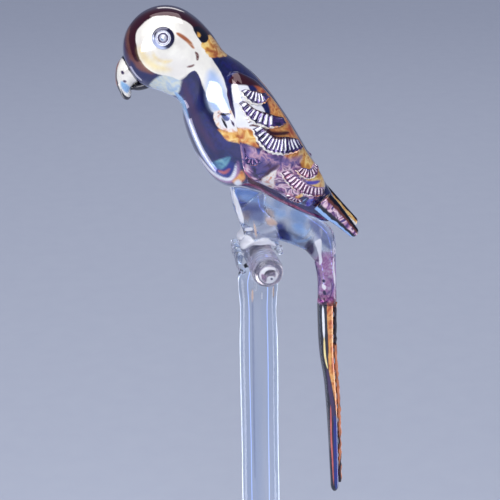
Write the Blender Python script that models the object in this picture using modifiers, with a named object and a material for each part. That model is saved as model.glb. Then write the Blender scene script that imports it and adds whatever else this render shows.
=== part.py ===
"""A lampworked glass parrot on a swizzle stick, as the separate pieces of glass it is fused from.

The origin is the middle of the stick's flat bottom end. +Z runs up the stick and the bird looks
along -X, so its left side is at -Y. Lengths here are in millimetres, and MM turns them into
Blender's metres. Shapes of the bird are given from the middle of the perch bar, in x and in
height z, and PERCH_HEIGHT lifts them to their place.
"""

import math

import bmesh
import bpy
import numpy as np

MM = 0.001

# The stick: 8 mm borosilicate rod, and the height of the perch bar's axis above its bottom end.
ROD_RADIUS = 4.0
PERCH_HEIGHT = 151.6

# The perch: 6 mm rod, longer on the bird's left and fused on a little askew.
BAR_RADIUS = 3.0
BAR_LEFT_LENGTH = 13.8
BAR_RIGHT_LENGTH = 8.2
BAR_YAW = math.radians(2.7)

# Fused faces are kept this far apart, so that no two solids share a surface.
GAP = 0.3
SLIM_GAP = 0.15

# The bird's pairs: its left is at -Y.
SIDES = (("left", -1), ("right", 1))
FOOT_Y = 2.7
AROUND = 24

# Each section across a path: x, z, half depth, half width, lean of the path in degrees, squareness
# of the oval, where 2 is an ellipse.
BODY = (
    (-17.4, 43.0, 8.3, 6.0, -40, 2.8),
    (-13.1, 40.0, 7.3, 5.8, -41, 2.6),
    (-10.1, 36.9, 6.5, 5.9, -43, 2.3),
    (-8.0, 33.9, 7.7, 7.0, -46, 2.1),
    (-4.7, 27.7, 9.5, 8.6, -47, 2.0),
    (-0.8, 22.1, 9.5, 8.8, -47, 2.0),
    (5.0, 17.6, 6.6, 6.6, -47, 2.0),
    (8.4, 14.1, 5.2, 5.2, -47, 2.0),
    (11.3, 11.1, 4.0, 4.0, -47, 2.0),
    (14.0, 8.6, 2.7, 2.8, -47, 2.0),
)
UPPER_BEAK = (
    (-23.0, 39.9, 3.4, 3.0, -142, 2.2),
    (-25.3, 38.2, 2.4, 2.6, -134, 2.2),
    (-25.75, 36.3, 1.7, 2.0, -112, 2.0),
    (-25.45, 34.8, 1.1, 1.2, -78, 2.0),
)
LOWER_BEAK = (
    (-20.2, 36.9, 1.0, 1.9, -150, 2.0),
    (-21.9, 35.7, 0.9, 1.8, -152, 2.0),
    (-22.9, 35.2, 0.7, 1.3, -156, 2.0),
)
LEG = (
    (-2.2, 19.0, 3.4, 2.0, -90, 2.0),
    (-2.1, 13.0, 3.1, 2.0, -88, 2.0),
    (-1.4, 9.0, 3.0, 2.1, -80, 2.0),
    (0.2, 6.0, 3.4, 2.2, -80, 2.0),
    (0.5, 3.0, 3.6, 2.2, -90, 2.0),
)
RUMP = (
    (-1.0, 12.0, 4.0, 3.6, -38, 2.0),
    (5.0, 7.0, 4.6, 3.6, -40, 2.0),
    (9.4, 4.4, 3.9, 3.3, -42, 2.0),
    (12.6, 1.8, 3.5, 2.6, -60, 2.0),
    (13.9, -2.2, 2.3, 1.9, -86, 2.0),
)
TAIL_SOCKET = (
    (13.95, -2.6, 2.25, 1.85, -86, 2.0),
    (14.3, -6.0, 2.0, 1.7, -88, 2.0),
    (14.4, -11.6, 2.05, 1.6, -90, 2.0),
)
TAIL = (
    (14.0, -12.0, 1.7, 1.45, -90, 2.2),
    (14.35, -23.7, 1.5, 1.4, -87, 2.2),
    (14.95, -29.3, 1.25, 1.3, -85, 2.2),
    (15.35, -34.6, 1.2, 1.25, -86, 2.2),
    (15.85, -46.4, 1.0, 1.1, -88, 2.2),
    (16.1, -54.6, 0.85, 0.9, -88, 2.2),
)
WING_TIP = (
    (14.3, 9.9, 2.1, 0.9, -47, 2.4),
    (16.6, 7.5, 1.6, 0.95, -48, 2.4),
    (18.9, 4.9, 1.15, 0.9, -50, 2.2),
)
WING_TIP_Y = 4.5
# The right tip was drawn out further than the left: how far its end lies beyond.
RIGHT_TIP_REACH = (1.5, -0.9)

# The wing pad lies on the body. Down the body's path: distance, lowest and highest angle round it.
WING_EDGES = (
    (11.3, 35, 45),
    (12.1, 28, 52),
    (13.5, 17, 57),
    (15.5, 11, 64),
    (18.0, 8, 67),
    (21.0, 0, 69),
    (24.0, -10, 70),
    (27.0, -21, 69),
    (30.0, -28, 67),
    (34.0, -33, 64),
    (38.0, -35, 66),
    (41.0, -30, 68),
    (43.0, -18, 62),
)
WING_THICKNESS = 1.3

# Each pressed dab is a crescent: middle of its arc (distance down the body, angle round it), arc
# radius, greatest width, direction it bulges in (0 is tailwards, 90 is towards the belly), and half
# of its sweep.
FEATHERS = (
    (16.0, 53, 4.2, 2.4, 50, 60),
    (18.2, 65, 8.4, 2.5, 60, 46),
    (24.5, 55, 8.1, 3.7, 57, 56),
    (24.6, 2, 2.5, 1.5, 62, 66),
    (35.4, 41, 3.3, 2.1, 32, 80),
    (36.2, 56, 8.0, 2.6, 66, 54),
    (38.4, -6, 2.3, 1.4, 76, 60),
)
FEATHER_THICKNESS = 0.7

EYE_PLACE = (-2.7, 15)
EYE_RING_RADIUS = 1.8
EYE_RING_WIRE = 0.35
EYE_BEAD_RADIUS = 1.25

# Toes go round the bar, as angles from +X through the top, with their offset from the foot's middle.
TOES = (
    ("front_toe_inner", 157, 200, 1.2),
    ("front_toe_outer", 157, 224, -1.2),
    ("back_toe", 26, 4, 0.0),
)
TOE_RADIUS = 0.85
TOE_REACH = 4.3
FOOT_SPAN = (35, 150)
FOOT_THICKNESS = 1.7


def clear_scene():
    for obj in list(bpy.data.objects):
        bpy.data.objects.remove(obj)


def collection(name, hidden=False):
    made = bpy.data.collections.new(name)
    made.hide_render = hidden
    bpy.context.scene.collection.children.link(made)
    return made


def glass(name, colour, roughness, metallic, transmission):
    material = bpy.data.materials.new(name)
    material.use_nodes = True
    shader = material.node_tree.nodes["Principled BSDF"]
    shader.inputs["Base Color"].default_value = (*colour, 1)
    shader.inputs["Roughness"].default_value = roughness
    shader.inputs["Metallic"].default_value = metallic
    shader.inputs["Transmission Weight"].default_value = transmission
    material.diffuse_color = (*colour, 1)
    return material


def place(x, y, z):
    """A point given from the middle of the perch bar, as Blender's metres."""
    return (x * MM, y * MM, (z + PERCH_HEIGHT) * MM)


class Form:
    """A smooth shape through oval sections that stand across a path in the XZ plane."""

    def __init__(self, stations, start_cap=0.0, end_cap=0.0):
        self.rows = np.array(stations, float)
        steps = np.hypot(*np.diff(self.rows[:, :2], axis=0).T)
        self.knots = np.concatenate([[0], np.cumsum(steps)])
        self.slopes = np.gradient(self.rows, self.knots, axis=0)
        if start_cap:
            self.slopes[0, 2:4] = 0
        self.start_cap = start_cap
        self.end_cap = end_cap
        self.length = self.knots[-1]

    def values(self, s):
        """The section at distance s down the path, on a cubic through the stations."""
        i = min(max(int(np.searchsorted(self.knots, s)) - 1, 0), len(self.knots) - 2)
        span = self.knots[i + 1] - self.knots[i]
        t = (s - self.knots[i]) / span
        ends = (2 * t**3 - 3 * t**2 + 1) * self.rows[i] + (3 * t**2 - 2 * t**3) * self.rows[i + 1]
        bends = (t**3 - 2 * t**2 + t) * self.slopes[i] + (t**3 - t**2) * self.slopes[i + 1]
        return ends + span * bends

    def section(self, s):
        """Middle x and z, half depth, half width, lean in radians and squareness, caps included."""
        inside = min(max(s, 0.0), self.length)
        x, z, depth, width, lean, square = self.values(inside)
        lean = math.radians(lean)
        beyond = s - inside
        if beyond:
            cap = self.start_cap if beyond < 0 else self.end_cap
            shrink = math.sqrt(max(0.0, 1 - (beyond / cap) ** 2))
            x += beyond * math.cos(lean)
            z += beyond * math.sin(lean)
            depth *= shrink
            width *= shrink
        return x, z, depth, width, lean, square

    def point(self, s, angle, lift=0.0, side=-1, y=0.0):
        """A point on the surface: angle 0 is the flank on the given side, 90 is the back."""
        x, z, depth, width, lean, square = self.section(s)
        across, up = math.cos(math.radians(angle)), math.sin(math.radians(angle))
        swell = (abs(across) ** square + abs(up) ** square) ** (-1 / square)
        rise = (depth + lift) * swell * up
        out = (width + lift) * swell * across
        return place(x - math.sin(lean) * rise, y + side * out, z + math.cos(lean) * rise)

    def distances(self, steps, lift=0.0):
        """Distances down the path for the rings, close together where a cap rounds off."""
        found = list(np.linspace(0, self.length, steps))
        turns = [math.sin(math.radians(a)) for a in (22, 45, 63, 78, 90)]
        if self.start_cap:
            found = [-(self.start_cap + lift) * t for t in reversed(turns)] + found
        if self.end_cap:
            found += [self.length + (self.end_cap + lift) * t for t in turns]
        return found

    def rings(self, steps, around=AROUND, lift=0.0, y=0.0):
        grown = Form(self.rows, self.start_cap and self.start_cap + lift, self.end_cap and self.end_cap + lift)
        angles = [360 * i / around for i in range(around)]
        return [
            [grown.point(s, angle, lift, y=y) for angle in angles]
            for s in self.distances(steps, lift)
        ]


def finished(mesh, name, home, material, smooth=True):
    """Turns a bmesh into an object with its faces pointing out."""
    bmesh.ops.remove_doubles(mesh, verts=mesh.verts, dist=1e-7)
    bmesh.ops.recalc_face_normals(mesh, faces=mesh.faces)
    if mesh.calc_volume(signed=True) < 0:
        bmesh.ops.reverse_faces(mesh, faces=mesh.faces)
    data = bpy.data.meshes.new(name)
    mesh.to_mesh(data)
    mesh.free()
    if material:
        data.materials.append(material)
    if smooth:
        data.shade_smooth()
    obj = bpy.data.objects.new(name, data)
    home.objects.link(obj)
    return obj


def loft(name, rings, home, material=None):
    """A skin over rings of points, closed by its first and last ring."""
    mesh = bmesh.new()
    loops = [[mesh.verts.new(point) for point in ring] for ring in rings]
    for low, high in zip(loops, loops[1:]):
        for i in range(len(low)):
            j = (i + 1) % len(low)
            mesh.faces.new((low[i], low[j], high[j], high[i]))
    mesh.faces.new(loops[0])
    mesh.faces.new(loops[-1])
    return finished(mesh, name, home, material)


def pillow(name, outer, inner, home, material):
    """Two grids of points that meet along their rims."""
    mesh = bmesh.new()
    for grid in (outer, inner):
        verts = [[mesh.verts.new(point) for point in row] for row in grid]
        for low, high in zip(verts, verts[1:]):
            for i in range(len(low) - 1):
                mesh.faces.new((low[i], low[i + 1], high[i + 1], high[i]))
    return finished(mesh, name, home, material)


def turned(name, profile, home, material):
    """A solid of revolution about Z: the profile's points are radius and height, top to bottom."""
    mesh = bmesh.new()
    verts = [mesh.verts.new((radius * MM, 0, height * MM)) for radius, height in profile]
    for low, high in zip(verts, verts[1:]):
        mesh.edges.new((low, high))
    data = bpy.data.meshes.new(name)
    mesh.to_mesh(data)
    mesh.free()
    data.materials.append(material)
    obj = bpy.data.objects.new(name, data)
    home.objects.link(obj)
    screw = obj.modifiers.new("Turn", "SCREW")
    screw.steps = screw.render_steps = AROUND
    screw.use_merge_vertices = True
    screw.merge_threshold = 1e-6
    screw.use_smooth_shade = True
    return obj


def tube(name, points, radii, home, material, sides=2):
    """A round bar through the points, with rounded-off radii and filled caps."""
    curve = bpy.data.curves.new(name, "CURVE")
    curve.dimensions = "3D"
    curve.bevel_depth = MM
    curve.bevel_resolution = sides
    curve.use_fill_caps = True
    spline = curve.splines.new("POLY")
    spline.points.add(len(points) - 1)
    for knot, point, radius in zip(spline.points, points, radii):
        knot.co = (*point, 1)
        knot.radius = radius
    curve.materials.append(material)
    obj = bpy.data.objects.new(name, curve)
    home.objects.link(obj)
    return obj


def cut(obj, cutter):
    """Takes the cutter's volume out of the object."""
    cutter.display_type = "WIRE"
    cutter.hide_render = True
    trim = obj.modifiers.new("Trim to " + cutter.name, "BOOLEAN")
    trim.operation = "DIFFERENCE"
    trim.object = cutter


def bar_cutter(name, radius, home):
    """A cylinder along the perch bar's axis."""
    bpy.ops.mesh.primitive_cylinder_add(
        vertices=2 * AROUND,
        radius=radius * MM,
        depth=3 * BAR_LEFT_LENGTH * MM,
        location=place(0, 0, 0),
        rotation=(math.pi / 2, 0, 0),
    )
    cutter = bpy.context.object
    cutter.name = name
    for owner in list(cutter.users_collection):
        owner.objects.unlink(cutter)
    home.objects.link(cutter)
    return cutter


def rod(home, material, cutters):
    """The stick, with a flat fire-polished bottom end and a rounded top hollowed to the bar."""
    top = PERCH_HEIGHT - 2.5
    profile = [(0, top), (2.3, top), (2.9, top - 0.7), (3.5, top - 1.3), (3.85, top - 1.9)]
    profile += [(ROD_RADIUS, top - 2.7), (ROD_RADIUS, 1.0), (3.9, 0.55), (3.6, 0.2), (3.1, 0), (0, 0)]
    stick = turned("rod", profile, home, material)
    cut(stick, bar_cutter("bar_clearance", BAR_RADIUS + SLIM_GAP, cutters))


def perch_bar(home, material):
    """The cross-bar, whose ends step down in soft rings to a small flat face."""
    end = [(0, 0), (1.7, 0), (2.05, -0.3), (2.25, -0.9), (2.75, -1.3), (3.1, -1.9), (3.2, -2.8)]
    end += [(3.1, -3.8), (BAR_RADIUS, -4.8)]
    profile = [(radius, BAR_LEFT_LENGTH + inwards) for radius, inwards in end]
    profile += [(radius, -BAR_RIGHT_LENGTH - inwards) for radius, inwards in reversed(end)]
    bar = turned("perch_bar", profile, home, material)
    bar.rotation_euler = (math.pi / 2, 0, BAR_YAW)
    bar.location = place(0, 0, 0)


def foot(side_name, side, home, material):
    """A pad melted over the top of the bar."""
    rings = []
    middle = BAR_RADIUS + GAP + FOOT_THICKNESS / 2
    for step in range(11):
        t = step / 10
        angle = math.radians(FOOT_SPAN[0] + (FOOT_SPAN[1] - FOOT_SPAN[0]) * t)
        round_off = math.sqrt(1 - (2 * t - 1) ** 8 * 0.8)
        ring = []
        for i in range(16):
            turn = 2 * math.pi * i / 16
            radius = middle + FOOT_THICKNESS / 2 * round_off * math.sin(turn)
            y = side * FOOT_Y + 2.35 * round_off * math.cos(turn)
            ring.append(place(radius * math.cos(angle), y, radius * math.sin(angle)))
        rings.append(ring)
    loft(side_name + "_foot", rings, home, material)


def toes(side_name, side, home, material):
    """Clear ropes of glass that run on from the pad round the bar."""
    for toe_name, start, stop, offset in TOES:
        points, radii = [], []
        for step in range(9):
            t = step / 8
            angle = math.radians(start + (stop - start) * t)
            y = side * (FOOT_Y - offset)
            points.append(place(TOE_REACH * math.cos(angle), y, TOE_REACH * math.sin(angle)))
            radii.append(TOE_RADIUS * (1 - 0.75 * max(0, t - 0.6) ** 2 / 0.16))
        tube(f"{side_name}_{toe_name}", points, radii, home, material)


def leg(side_name, side, home, material, cutters):
    column = loft(side_name + "_leg", Form(LEG).rings(9, 20, y=side * FOOT_Y), home, material)
    for cutter in cutters:
        cut(column, cutter)


def wing_edges(s):
    """Lowest and highest angle of the wing pad at distance s down the body."""
    rows = np.array(WING_EDGES, float)
    return np.interp(s, rows[:, 0], rows[:, 1]), np.interp(s, rows[:, 0], rows[:, 2])


def wing_lift(s, angle):
    """Height of the wing pad's outer face over the body."""
    low, high = wing_edges(s)
    start, stop = WING_EDGES[0][0], WING_EDGES[-1][0]
    across = (2 * angle - low - high) / (high - low)
    along = 2 * (s - start) / (stop - start) - 1
    crown = max(0.0, 1 - abs(across) ** 3) * max(0.0, 1 - abs(along) ** 8)
    return GAP + WING_THICKNESS * math.sqrt(crown)


def wing(side_name, side, body, home, material):
    """The pad of coloured glass that lies along the flank."""
    start, stop = WING_EDGES[0][0], WING_EDGES[-1][0]
    outer, inner = [], []
    for step in range(19):
        s = start + (stop - start) * step / 18
        low, high = wing_edges(s)
        angles = [low + (high - low) * (1 - math.cos(math.pi * i / 10)) / 2 for i in range(11)]
        outer.append([body.point(s, a, wing_lift(s, a), side) for a in angles])
        inner.append([body.point(s, a, GAP, side) for a in angles])
    pillow(side_name + "_wing", outer, inner, home, material)


def wing_tip(side_name, side, home, material):
    """The flattened rod that the wing is drawn out into."""
    stations = np.array(WING_TIP)
    if side > 0:
        for row, share in zip(stations, (0, 0.4, 1)):
            row[:2] += np.array(RIGHT_TIP_REACH) * share
    rings = Form(stations, end_cap=1.1).rings(6, 16, y=side * WING_TIP_Y)
    loft(side_name + "_wing_tip", rings, home, material)


def feather(name, shape, side, body, home, material):
    """A crescent dab on the wing pad."""
    middle_s, middle_angle, radius, width, aim, half_sweep = shape
    _, _, depth, flank, _, _ = body.section(middle_s)
    girth = (depth + flank) / 2 + WING_THICKNESS
    outer, inner = [], []
    for step in range(13):
        sweep = 2 * step / 12 - 1
        turn = math.radians(aim + half_sweep * sweep)
        band = width * (0.35 + 0.65 * math.sqrt(1 - sweep**2))
        outer_row, inner_row = [], []
        for i in range(5):
            across = i / 2 - 1
            r = radius - band * (1 - across) / 2
            s = middle_s + r * math.cos(turn)
            low, high = wing_edges(s)
            angle = middle_angle - math.degrees(r * math.sin(turn) / girth)
            inset = 0.06 * (high - low)
            angle = min(max(angle, low + inset), high - inset)
            base = wing_lift(s, angle) + SLIM_GAP
            crown = math.sqrt(max(0.0, (1 - across**4) * (1 - sweep**8)))
            outer_row.append(body.point(s, angle, base + FEATHER_THICKNESS * crown, side))
            inner_row.append(body.point(s, angle, base, side))
        outer.append(outer_row)
        inner.append(inner_row)
    pillow(name, outer, inner, home, material)


def eye(side_name, side, body, home, ring_material, bead_material):
    """A ring and a bead of glass on the cheek, square to its surface."""
    s, angle = EYE_PLACE
    middle = np.array(body.point(s, angle, 0, side))
    down = np.array(body.point(s + 0.5, angle, 0, side)) - middle
    across = np.array(body.point(s, angle + 3, 0, side)) - middle
    out = np.cross(down, across)
    out *= math.copysign(1, out[1] * side) / np.linalg.norm(out)
    turn = math.acos(out[2])
    heading = math.atan2(out[1], out[0])
    bpy.ops.mesh.primitive_torus_add(
        location=middle + out * (EYE_RING_WIRE + 0.05) * MM,
        rotation=(0, turn, heading),
        major_radius=EYE_RING_RADIUS * MM,
        minor_radius=EYE_RING_WIRE * MM,
        major_segments=24,
        minor_segments=8,
    )
    ring = bpy.context.object
    ring.name = side_name + "_eye_ring"
    bpy.ops.mesh.primitive_uv_sphere_add(
        location=middle + out * 0.75 * MM,
        rotation=(0, turn, heading),
        scale=(1, 1, 0.55),
        radius=EYE_BEAD_RADIUS * MM,
        segments=16,
        ring_count=9,
    )
    bead = bpy.context.object
    bead.name = side_name + "_eye_bead"
    for obj, material in ((ring, ring_material), (bead, bead_material)):
        for owner in list(obj.users_collection):
            owner.objects.unlink(obj)
        home.objects.link(obj)
        obj.data.materials.append(material)
        obj.data.shade_smooth()


def tail_ridge(home, material):
    """A thin bead drawn down the tail's back edge."""
    tail = Form(TAIL, end_cap=1.6)
    wire = 0.36
    points = []
    for step in range(19):
        x, z, depth, _, lean, _ = tail.section(tail.length * (0.01 + 0.97 * step / 18))
        away = depth + SLIM_GAP + wire
        points.append(place(x - math.sin(lean) * away, 0, z + math.cos(lean) * away))
    tube("tail_ridge", points, [wire] * len(points), home, material)


def main():
    clear_scene()
    parts = collection("glass_parrot_swizzle_stick")
    cutters = collection("cutters", hidden=True)
    clear = glass("clear_glass", (0.86, 0.9, 0.95), 0.02, 0.0, 1.0)
    lustre = glass("lustre_glass", (0.32, 0.14, 0.42), 0.05, 0.7, 0.4)
    pearl = glass("pearl_glass", (0.72, 0.75, 0.82), 0.08, 0.3, 0.3)

    rod(parts, clear, cutters)
    perch_bar(parts, clear)

    body = Form(BODY, start_cap=8.3, end_cap=2.6)
    loft("body", body.rings(19), parts, lustre)
    body_room = loft("body_clearance", body.rings(19, lift=GAP), cutters)
    foot_room = bar_cutter("foot_clearance", BAR_RADIUS + 2 * GAP + FOOT_THICKNESS, cutters)

    upper = loft("upper_beak", Form(UPPER_BEAK, end_cap=1.7).rings(7, 16), parts, lustre)
    lower = loft("lower_beak", Form(LOWER_BEAK, end_cap=0.8).rings(5, 16), parts, lustre)
    cut(upper, body_room)
    cut(lower, body_room)

    rump = loft("rump", Form(RUMP).rings(9, 20), parts, clear)
    cut(rump, body_room)
    cut(rump, foot_room)
    leg_form = Form(LEG)
    for side_name, side in SIDES:
        leg(side_name, side, parts, clear, (body_room, foot_room))
        leg_rings = leg_form.rings(9, 20, lift=GAP, y=side * FOOT_Y)
        cut(rump, loft(side_name + "_leg_clearance", leg_rings, cutters))
        foot(side_name, side, parts, clear)
        toes(side_name, side, parts, clear)

    loft("tail_socket", Form(TAIL_SOCKET).rings(6, 16), parts, clear)
    loft("tail", Form(TAIL, end_cap=1.6).rings(14, 16), parts, lustre)
    tail_ridge(parts, lustre)

    for side_name, side in SIDES:
        wing(side_name, side, body, parts, lustre)
        for number, shape in enumerate(FEATHERS, 1):
            feather(f"{side_name}_wing_feather_{number}", shape, side, body, parts, lustre)
        wing_tip(side_name, side, parts, lustre)
        eye(side_name, side, body, parts, pearl, clear)


main()
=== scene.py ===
"""The looks of the glass parrot swizzle stick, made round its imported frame.

Lengths are in millimetres, and MM turns them into Blender's metres. Shapes and painted patches of
the bird are given from the middle of the perch bar, in x and in height z, as in the CAD model.
The bird looks along -X, and its left side is at -Y.
"""

import math

import bmesh
import bpy
import numpy as np
from mathutils import Matrix, Vector
from mathutils.kdtree import KDTree


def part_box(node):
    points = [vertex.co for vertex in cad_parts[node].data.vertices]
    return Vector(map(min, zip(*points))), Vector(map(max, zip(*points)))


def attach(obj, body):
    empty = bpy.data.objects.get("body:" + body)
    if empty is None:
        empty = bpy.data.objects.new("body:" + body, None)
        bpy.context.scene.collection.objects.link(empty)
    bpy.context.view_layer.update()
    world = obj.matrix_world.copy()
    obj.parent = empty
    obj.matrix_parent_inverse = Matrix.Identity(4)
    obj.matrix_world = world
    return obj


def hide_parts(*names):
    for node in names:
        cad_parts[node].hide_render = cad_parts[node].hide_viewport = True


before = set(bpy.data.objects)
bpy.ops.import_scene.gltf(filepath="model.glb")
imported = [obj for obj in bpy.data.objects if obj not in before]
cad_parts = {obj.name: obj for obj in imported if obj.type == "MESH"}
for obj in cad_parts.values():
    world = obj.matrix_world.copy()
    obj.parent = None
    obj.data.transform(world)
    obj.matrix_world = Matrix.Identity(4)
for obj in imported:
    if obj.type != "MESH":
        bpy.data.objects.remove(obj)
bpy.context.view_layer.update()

MM = 0.001
SIDES = (("left", -1), ("right", 1))
bar_low, bar_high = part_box("perch_bar")
PERCH_HEIGHT = (bar_low.z + bar_high.z) / 2 / MM
rod_low, rod_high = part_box("rod")
ROD_RADIUS = (rod_high.x - rod_low.x) / 2 / MM

# Each section across a path: x, z, half depth, half width, lean of the path in degrees, squareness
# of the oval, where 2 is an ellipse.
BODY = (
    (-17.4, 43.0, 8.3, 6.0, -40, 2.8),
    (-13.1, 40.0, 7.3, 5.8, -41, 2.6),
    (-10.3, 36.9, 6.6, 5.9, -44, 2.3),
    (-8.4, 33.9, 8.0, 7.0, -48, 2.1),
    (-4.8, 27.7, 9.6, 8.6, -47.5, 2.0),
    (-0.8, 22.1, 9.5, 8.8, -47, 2.0),
    (5.0, 17.6, 6.6, 6.6, -47, 2.0),
    (8.4, 14.1, 5.2, 5.2, -47, 2.0),
    (11.3, 11.1, 4.0, 4.0, -47, 2.0),
    (14.0, 8.6, 2.7, 2.8, -47, 2.0),
)
UPPER_BEAK = (
    (-22.3, 40.4, 3.6, 3.2, -142, 2.2),
    (-23.0, 39.9, 3.4, 3.0, -142, 2.2),
    (-25.3, 38.2, 2.4, 2.6, -134, 2.2),
    (-25.75, 36.3, 1.7, 2.0, -112, 2.0),
    (-25.45, 34.8, 1.1, 1.2, -78, 2.0),
)
LOWER_BEAK = (
    (-20.2, 37.1, 1.2, 1.9, -150, 2.0),
    (-21.9, 36.1, 1.0, 1.8, -160, 2.0),
    (-23.2, 35.8, 0.85, 1.4, -174, 2.0),
    (-24.2, 35.7, 0.6, 1.0, -180, 2.0),
)
LEG = (
    (-2.2, 19.0, 3.4, 2.0, -90, 2.0),
    (-2.1, 13.0, 3.1, 2.0, -88, 2.0),
    (-1.4, 9.0, 3.0, 2.1, -80, 2.0),
    (0.2, 6.0, 3.4, 2.2, -80, 2.0),
    (0.5, 3.0, 3.6, 2.2, -90, 2.0),
)
RUMP = (
    (-1.0, 12.0, 4.0, 3.6, -38, 2.0),
    (5.0, 7.0, 4.6, 3.6, -40, 2.0),
    (9.4, 4.4, 3.9, 3.3, -42, 2.0),
    (12.6, 1.8, 3.5, 2.6, -60, 2.0),
    (13.9, -2.2, 2.3, 1.9, -86, 2.0),
)
TAIL_SOCKET = (
    (13.95, -2.6, 2.25, 1.85, -86, 2.0),
    (14.3, -6.0, 2.0, 1.7, -88, 2.0),
    (14.4, -11.6, 2.0, 1.75, -90, 2.0),
)
SOCKET_LIP = 1.3
# How far the tail's rounded ends reach.
TAIL_ROOT, TAIL_TIP = 1.6, 1.6
TAIL = (
    (14.0, -11.7, 1.7, 1.45, -90, 2.2),
    (14.35, -23.7, 1.5, 1.4, -87, 2.2),
    (14.95, -29.3, 1.25, 1.3, -85, 2.2),
    (15.35, -34.6, 1.2, 1.25, -86, 2.2),
    (15.85, -46.4, 1.0, 1.1, -88, 2.2),
    (16.1, -54.6, 0.85, 0.9, -88, 2.2),
)
WING_TIP = (
    (12.6, 11.7, 2.2, 0.8, -47, 2.4),
    (14.3, 9.9, 2.1, 0.9, -47, 2.4),
    (16.6, 7.5, 1.6, 0.95, -48, 2.4),
    (18.9, 4.9, 1.15, 0.9, -50, 2.2),
)
WING_TIP_Y = 4.5
RIGHT_TIP_REACH = (1.5, -0.9)
WING_EDGES = (
    (11.3, 35, 45),
    (12.1, 28, 52),
    (13.5, 17, 57),
    (15.5, 11, 64),
    (18.0, 8, 67),
    (21.0, 0, 69),
    (24.0, -10, 70),
    (27.0, -21, 69),
    (30.0, -28, 67),
    (34.0, -33, 64),
    (38.0, -35, 66),
    (41.0, -30, 68),
    (43.0, -18, 62),
)
WING_THICKNESS = 1.6

# Each pressed dab is a crescent: middle of its arc (distance down the body, angle round it), arc
# radius, greatest width, direction it bulges in (0 is tailwards, 90 is towards the belly), half of
# its sweep, how many ribs the comb pressed into it, and the share of its sweep at the back end
# where the comb didn't bite.
FEATHERS = (
    (16.0, 53, 4.2, 2.4, 50, 60, 8, 0.2),
    (18.2, 65, 8.4, 2.5, 60, 46, 10, 0.3),
    (24.5, 55, 8.1, 3.7, 57, 56, 14, 0.05),
    (24.6, 2, 2.5, 1.5, 62, 66, 5, 0.0),
    (35.4, 41, 3.3, 2.1, 32, 80, 9, 0.0),
    (36.2, 56, 8.0, 2.6, 66, 54, 14, 0.1),
    (38.4, -6, 2.3, 1.4, 76, 60, 5, 0.0),
)
FEATHER_RELIEF = 1.0
EYE_PLACE = (-2.7, 15)
# Radius and height of the eye's ring and bead, over the cheek.
EYE_RING = (
    (1.3, 0.35), (1.45, 0.42), (1.62, 0.36), (1.8, 0.26), (2.0, 0.24), (2.15, 0.16), (2.25, -0.1),
    (2.25, -0.6), (1.25, -0.6), (1.22, 0.1),
)
EYE_BEAD = (
    (0, 0.72), (0.25, 0.7), (0.5, 0.6), (0.68, 0.42), (0.76, 0.36), (0.86, 0.38), (1.0, 0.5),
    (1.12, 0.52), (1.22, 0.44), (1.3, 0.25), (1.3, -0.5), (0, -0.5),
)
HIDDEN_OVERLAP = 0.35
# Corners closer than this, in metres, are one.
WELD = 1e-7


def place(x, y, z):
    """A point given from the middle of the perch bar, as Blender's metres."""
    return (x * MM, y * MM, (z + PERCH_HEIGHT) * MM)


def from_bar(points):
    """Blender's metres as places from the middle of the perch bar, one to a row."""
    return np.reshape(points, (-1, 3)) / MM - (0, 0, PERCH_HEIGHT)


def circle(count):
    """Evenly spaced angles round a circle, in radians."""
    return np.arange(count) * 2 * math.pi / count


def hermite(t, start, stop, start_slope, stop_slope, span=1.0):
    """A cubic between two values, which leaves and arrives on the given slopes."""
    ends = (2 * t**3 - 3 * t**2 + 1) * start + (3 * t**2 - 2 * t**3) * stop
    bends = (t**3 - 2 * t**2 + t) * start_slope + (t**3 - t**2) * stop_slope
    return ends + span * bends


class Form:
    """A smooth shape through oval sections that stand across a path in the XZ plane."""

    def __init__(self, stations, start_cap=0.0, end_cap=0.0):
        self.rows = np.array(stations, float)
        steps = np.hypot(*np.diff(self.rows[:, :2], axis=0).T)
        self.knots = np.concatenate([[0], np.cumsum(steps)])
        self.slopes = np.gradient(self.rows, self.knots, axis=0)
        if start_cap:
            self.slopes[0, 2:4] = 0
        self.start_cap = start_cap
        self.end_cap = end_cap
        self.length = self.knots[-1]

    def values(self, s):
        """The section at distance s down the path, on a cubic through the stations."""
        i = min(max(int(np.searchsorted(self.knots, s)) - 1, 0), len(self.knots) - 2)
        span = self.knots[i + 1] - self.knots[i]
        t = (s - self.knots[i]) / span
        return hermite(t, self.rows[i], self.rows[i + 1], self.slopes[i], self.slopes[i + 1], span)

    def section(self, s):
        """Middle x and z, half depth, half width, lean in radians and squareness, caps included."""
        inside = min(max(s, 0.0), self.length)
        x, z, depth, width, lean, square = self.values(inside)
        lean = math.radians(lean)
        beyond = s - inside
        if beyond:
            cap = self.start_cap if beyond < 0 else self.end_cap
            shrink = math.sqrt(max(0.0, 1 - (beyond / cap) ** 2))
            x += beyond * math.cos(lean)
            z += beyond * math.sin(lean)
            depth *= shrink
            width *= shrink
        return x, z, depth, width, lean, square

    def point(self, s, angle, lift=0.0, side=-1, y=0.0):
        """A point on the surface: angle 0 is the flank on the given side, 90 is the back."""
        x, z, depth, width, lean, square = self.section(s)
        across, up = math.cos(math.radians(angle)), math.sin(math.radians(angle))
        swell = (abs(across) ** square + abs(up) ** square) ** (-1 / square)
        rise = (depth + lift) * swell * up
        out = (width + lift) * swell * across
        return place(x - math.sin(lean) * rise, y + side * out, z + math.cos(lean) * rise)

    def distances(self, steps):
        """Distances down the path for the rings, close together where a cap rounds off."""
        found = list(np.linspace(0, self.length, steps))
        turns = np.sin(np.radians(np.linspace(0, 90, 25)[1:]))
        if self.start_cap:
            found = [-self.start_cap * t for t in reversed(turns)] + found
        if self.end_cap:
            found += [self.length + self.end_cap * t for t in turns]
        return found

    def rings(self, steps, around, y=0.0):
        angles = np.arange(around) * 360 / around
        return [[self.point(s, angle, y=y) for angle in angles] for s in self.distances(steps)]


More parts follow.
